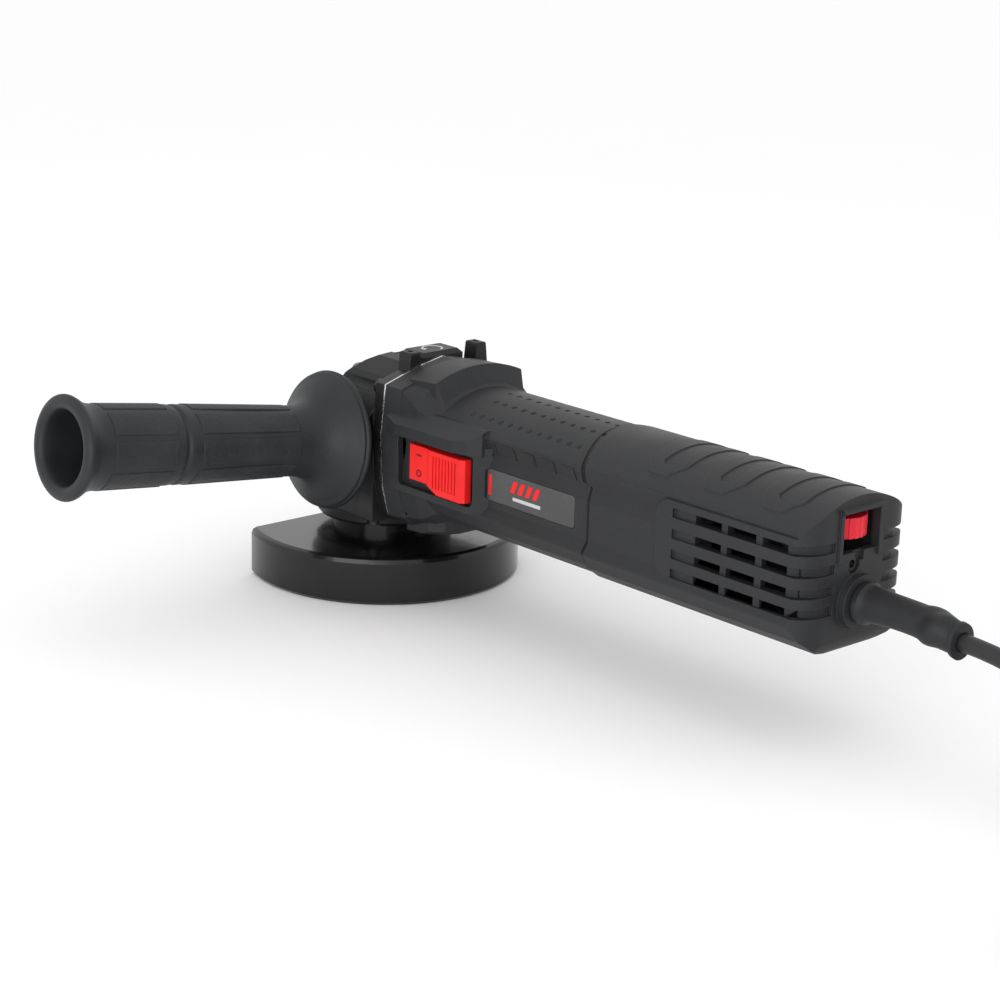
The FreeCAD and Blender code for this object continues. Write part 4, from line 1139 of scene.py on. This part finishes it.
@dataclass
class HeadMarks:
    """A raised turning arrow on the head's top cover."""

    centre: Point = (29.5, 2.5, 104.8)
    radius: float = 4.4
    width: float = 1.0
    start: float = 20.0
    sweep: float = 235.0
    lift: float = 0.18
    steps: int = 28
    tip_half: float = 1.7
    tip_length: float = 2.6

    def build(self) -> None:
        """The arrow's bow and its head."""
        shape = Builder()
        middle = Vector(self.centre)
        rings = []
        for i in range(self.steps + 1):
            angle = math.radians(self.start + self.sweep * i / self.steps)
            way = Vector((math.cos(angle), math.sin(angle), 0))
            near, far = way * (self.radius - self.width / 2), way * (self.radius + self.width / 2)
            up = Vector((0, 0, self.lift))
            rings.append([middle + near - up, middle + far - up, middle + far + up, middle + near + up])
        shape.rings(rings, caps=True)
        bow = shape.finish("turning_arrow_bow", 30.0)
        dress(bow, PALE_PRINT)
        hand_over(bow, Body.HOUSING, "label")
        end = math.radians(self.start + self.sweep)
        way = Vector((math.cos(end), math.sin(end), 0))
        ahead = Vector((-math.sin(end), math.cos(end), 0))
        tip = Builder()
        flat = [middle + way * (self.radius - self.tip_half), middle + way * (self.radius + self.tip_half),
                middle + way * self.radius + ahead * self.tip_length]
        up = Vector((0, 0, self.lift))
        tip.points = [p - up for p in flat] + [p + up for p in flat]
        tip.faces = [(2, 1, 0), (3, 4, 5), (0, 1, 4, 3), (1, 2, 5, 4), (2, 0, 3, 5)]
        point = tip.finish("turning_arrow_tip", 30.0)
        dress(point, PALE_PRINT)
        hand_over(point, Body.HOUSING, "label")


@dataclass
class BarrelSteps:
    """The row of small hooked ridges between the barrel's back and its name plate."""

    count: int = 5
    start: float = 103.5
    step: float = 12.0
    leg: float = 5.6
    arm: float = 6.4
    line: float = 0.7
    top_z: float = 82.4
    edge_y: float = 28.7
    edge_z: float = 84.0
    slope: float = 3.1 / 7.4
    proud: float = 0.05

    def row(self, name: str, side: int) -> None:
        """The ridges on one side.

        Args:
            name: the piece's name.
            side: -1 for the switch side, 1 for the other.
        """
        tree = NodeTree(name)
        number = tree.size("Hooks", self.count)
        step = tree.size("Spacing", self.step * MM)
        line = tree.size("Line width", self.line * MM)
        arm = tree.size("Arm", self.arm * MM)
        leg = tree.size("Leg", self.leg * MM)
        top = tree.node("GeometryNodeMeshCube")
        tree.join(tree.vector(arm, line, line), top.inputs["Size"])
        down = tree.node("GeometryNodeMeshCube")
        tree.join(tree.vector(line, line, leg), down.inputs["Size"])
        moved = tree.node("GeometryNodeTransform")
        tree.join(down.outputs["Mesh"], moved.inputs["Geometry"])
        half_arm = tree.math("MULTIPLY", arm, 0.5)
        half_leg = tree.math("MULTIPLY", leg, -0.5)
        tree.join(tree.vector(half_arm, 0.0, half_leg), moved.inputs["Translation"])
        both = tree.node("GeometryNodeJoinGeometry")
        tree.join(moved.outputs[0], both.inputs[0])
        tree.join(top.outputs["Mesh"], both.inputs[0])
        spots = tree.node("GeometryNodeMeshLine")
        tree.join(number, spots.inputs["Count"])
        tree.join(tree.vector(step), spots.inputs["Offset"])
        placed = tree.node("GeometryNodeInstanceOnPoints")
        tree.join(spots.outputs[0], placed.inputs["Points"])
        tree.join(both.outputs[0], placed.inputs["Instance"])
        tilt = Matrix.Rotation(side * -math.atan(self.slope), 4, "X")
        face_y = self.edge_y - (self.edge_z - self.top_z) * self.slope
        place = Matrix.Translation(metres((self.start, side * (face_y + self.proud), self.top_z))) @ tilt
        obj = tree.bake(name, placed.outputs[0], HOUSING_BLACK, place)
        hand_over(obj, Body.HOUSING, "moulded_black")

    def build(self) -> None:
        """Both sides' rows."""
        self.row("barrel_steps_right", -1)
        self.row("barrel_steps_left", 1)


# --- Main ----------------------------------------------------------------------------------
def dress_nodes() -> None:
    """Gives every CAD node the finish of its slot."""
    for row in frame["record"]["subparts"]:
        obj = frame["nodes"][row["node"]]
        finish = SLOT_FINISH[row["material_slot"]]
        finish = NODE_FINISH.get(row["node"], finish)
        dress(obj, finish)


def main() -> None:
    """Builds the studio and every piece, in order."""
    logging.basicConfig(level=logging.INFO)
    Studio().build()
    dress_nodes()
    cord = MainsCord()
    flex = cord.build()
    parts = (SideHandle(), CordBoot(), PlugRibs(), LabelMotif(), SwitchMarks(), HeadMarks(), BarrelSteps())
    for part in parts:
        part.build()


if __name__ == "__main__":
    main()
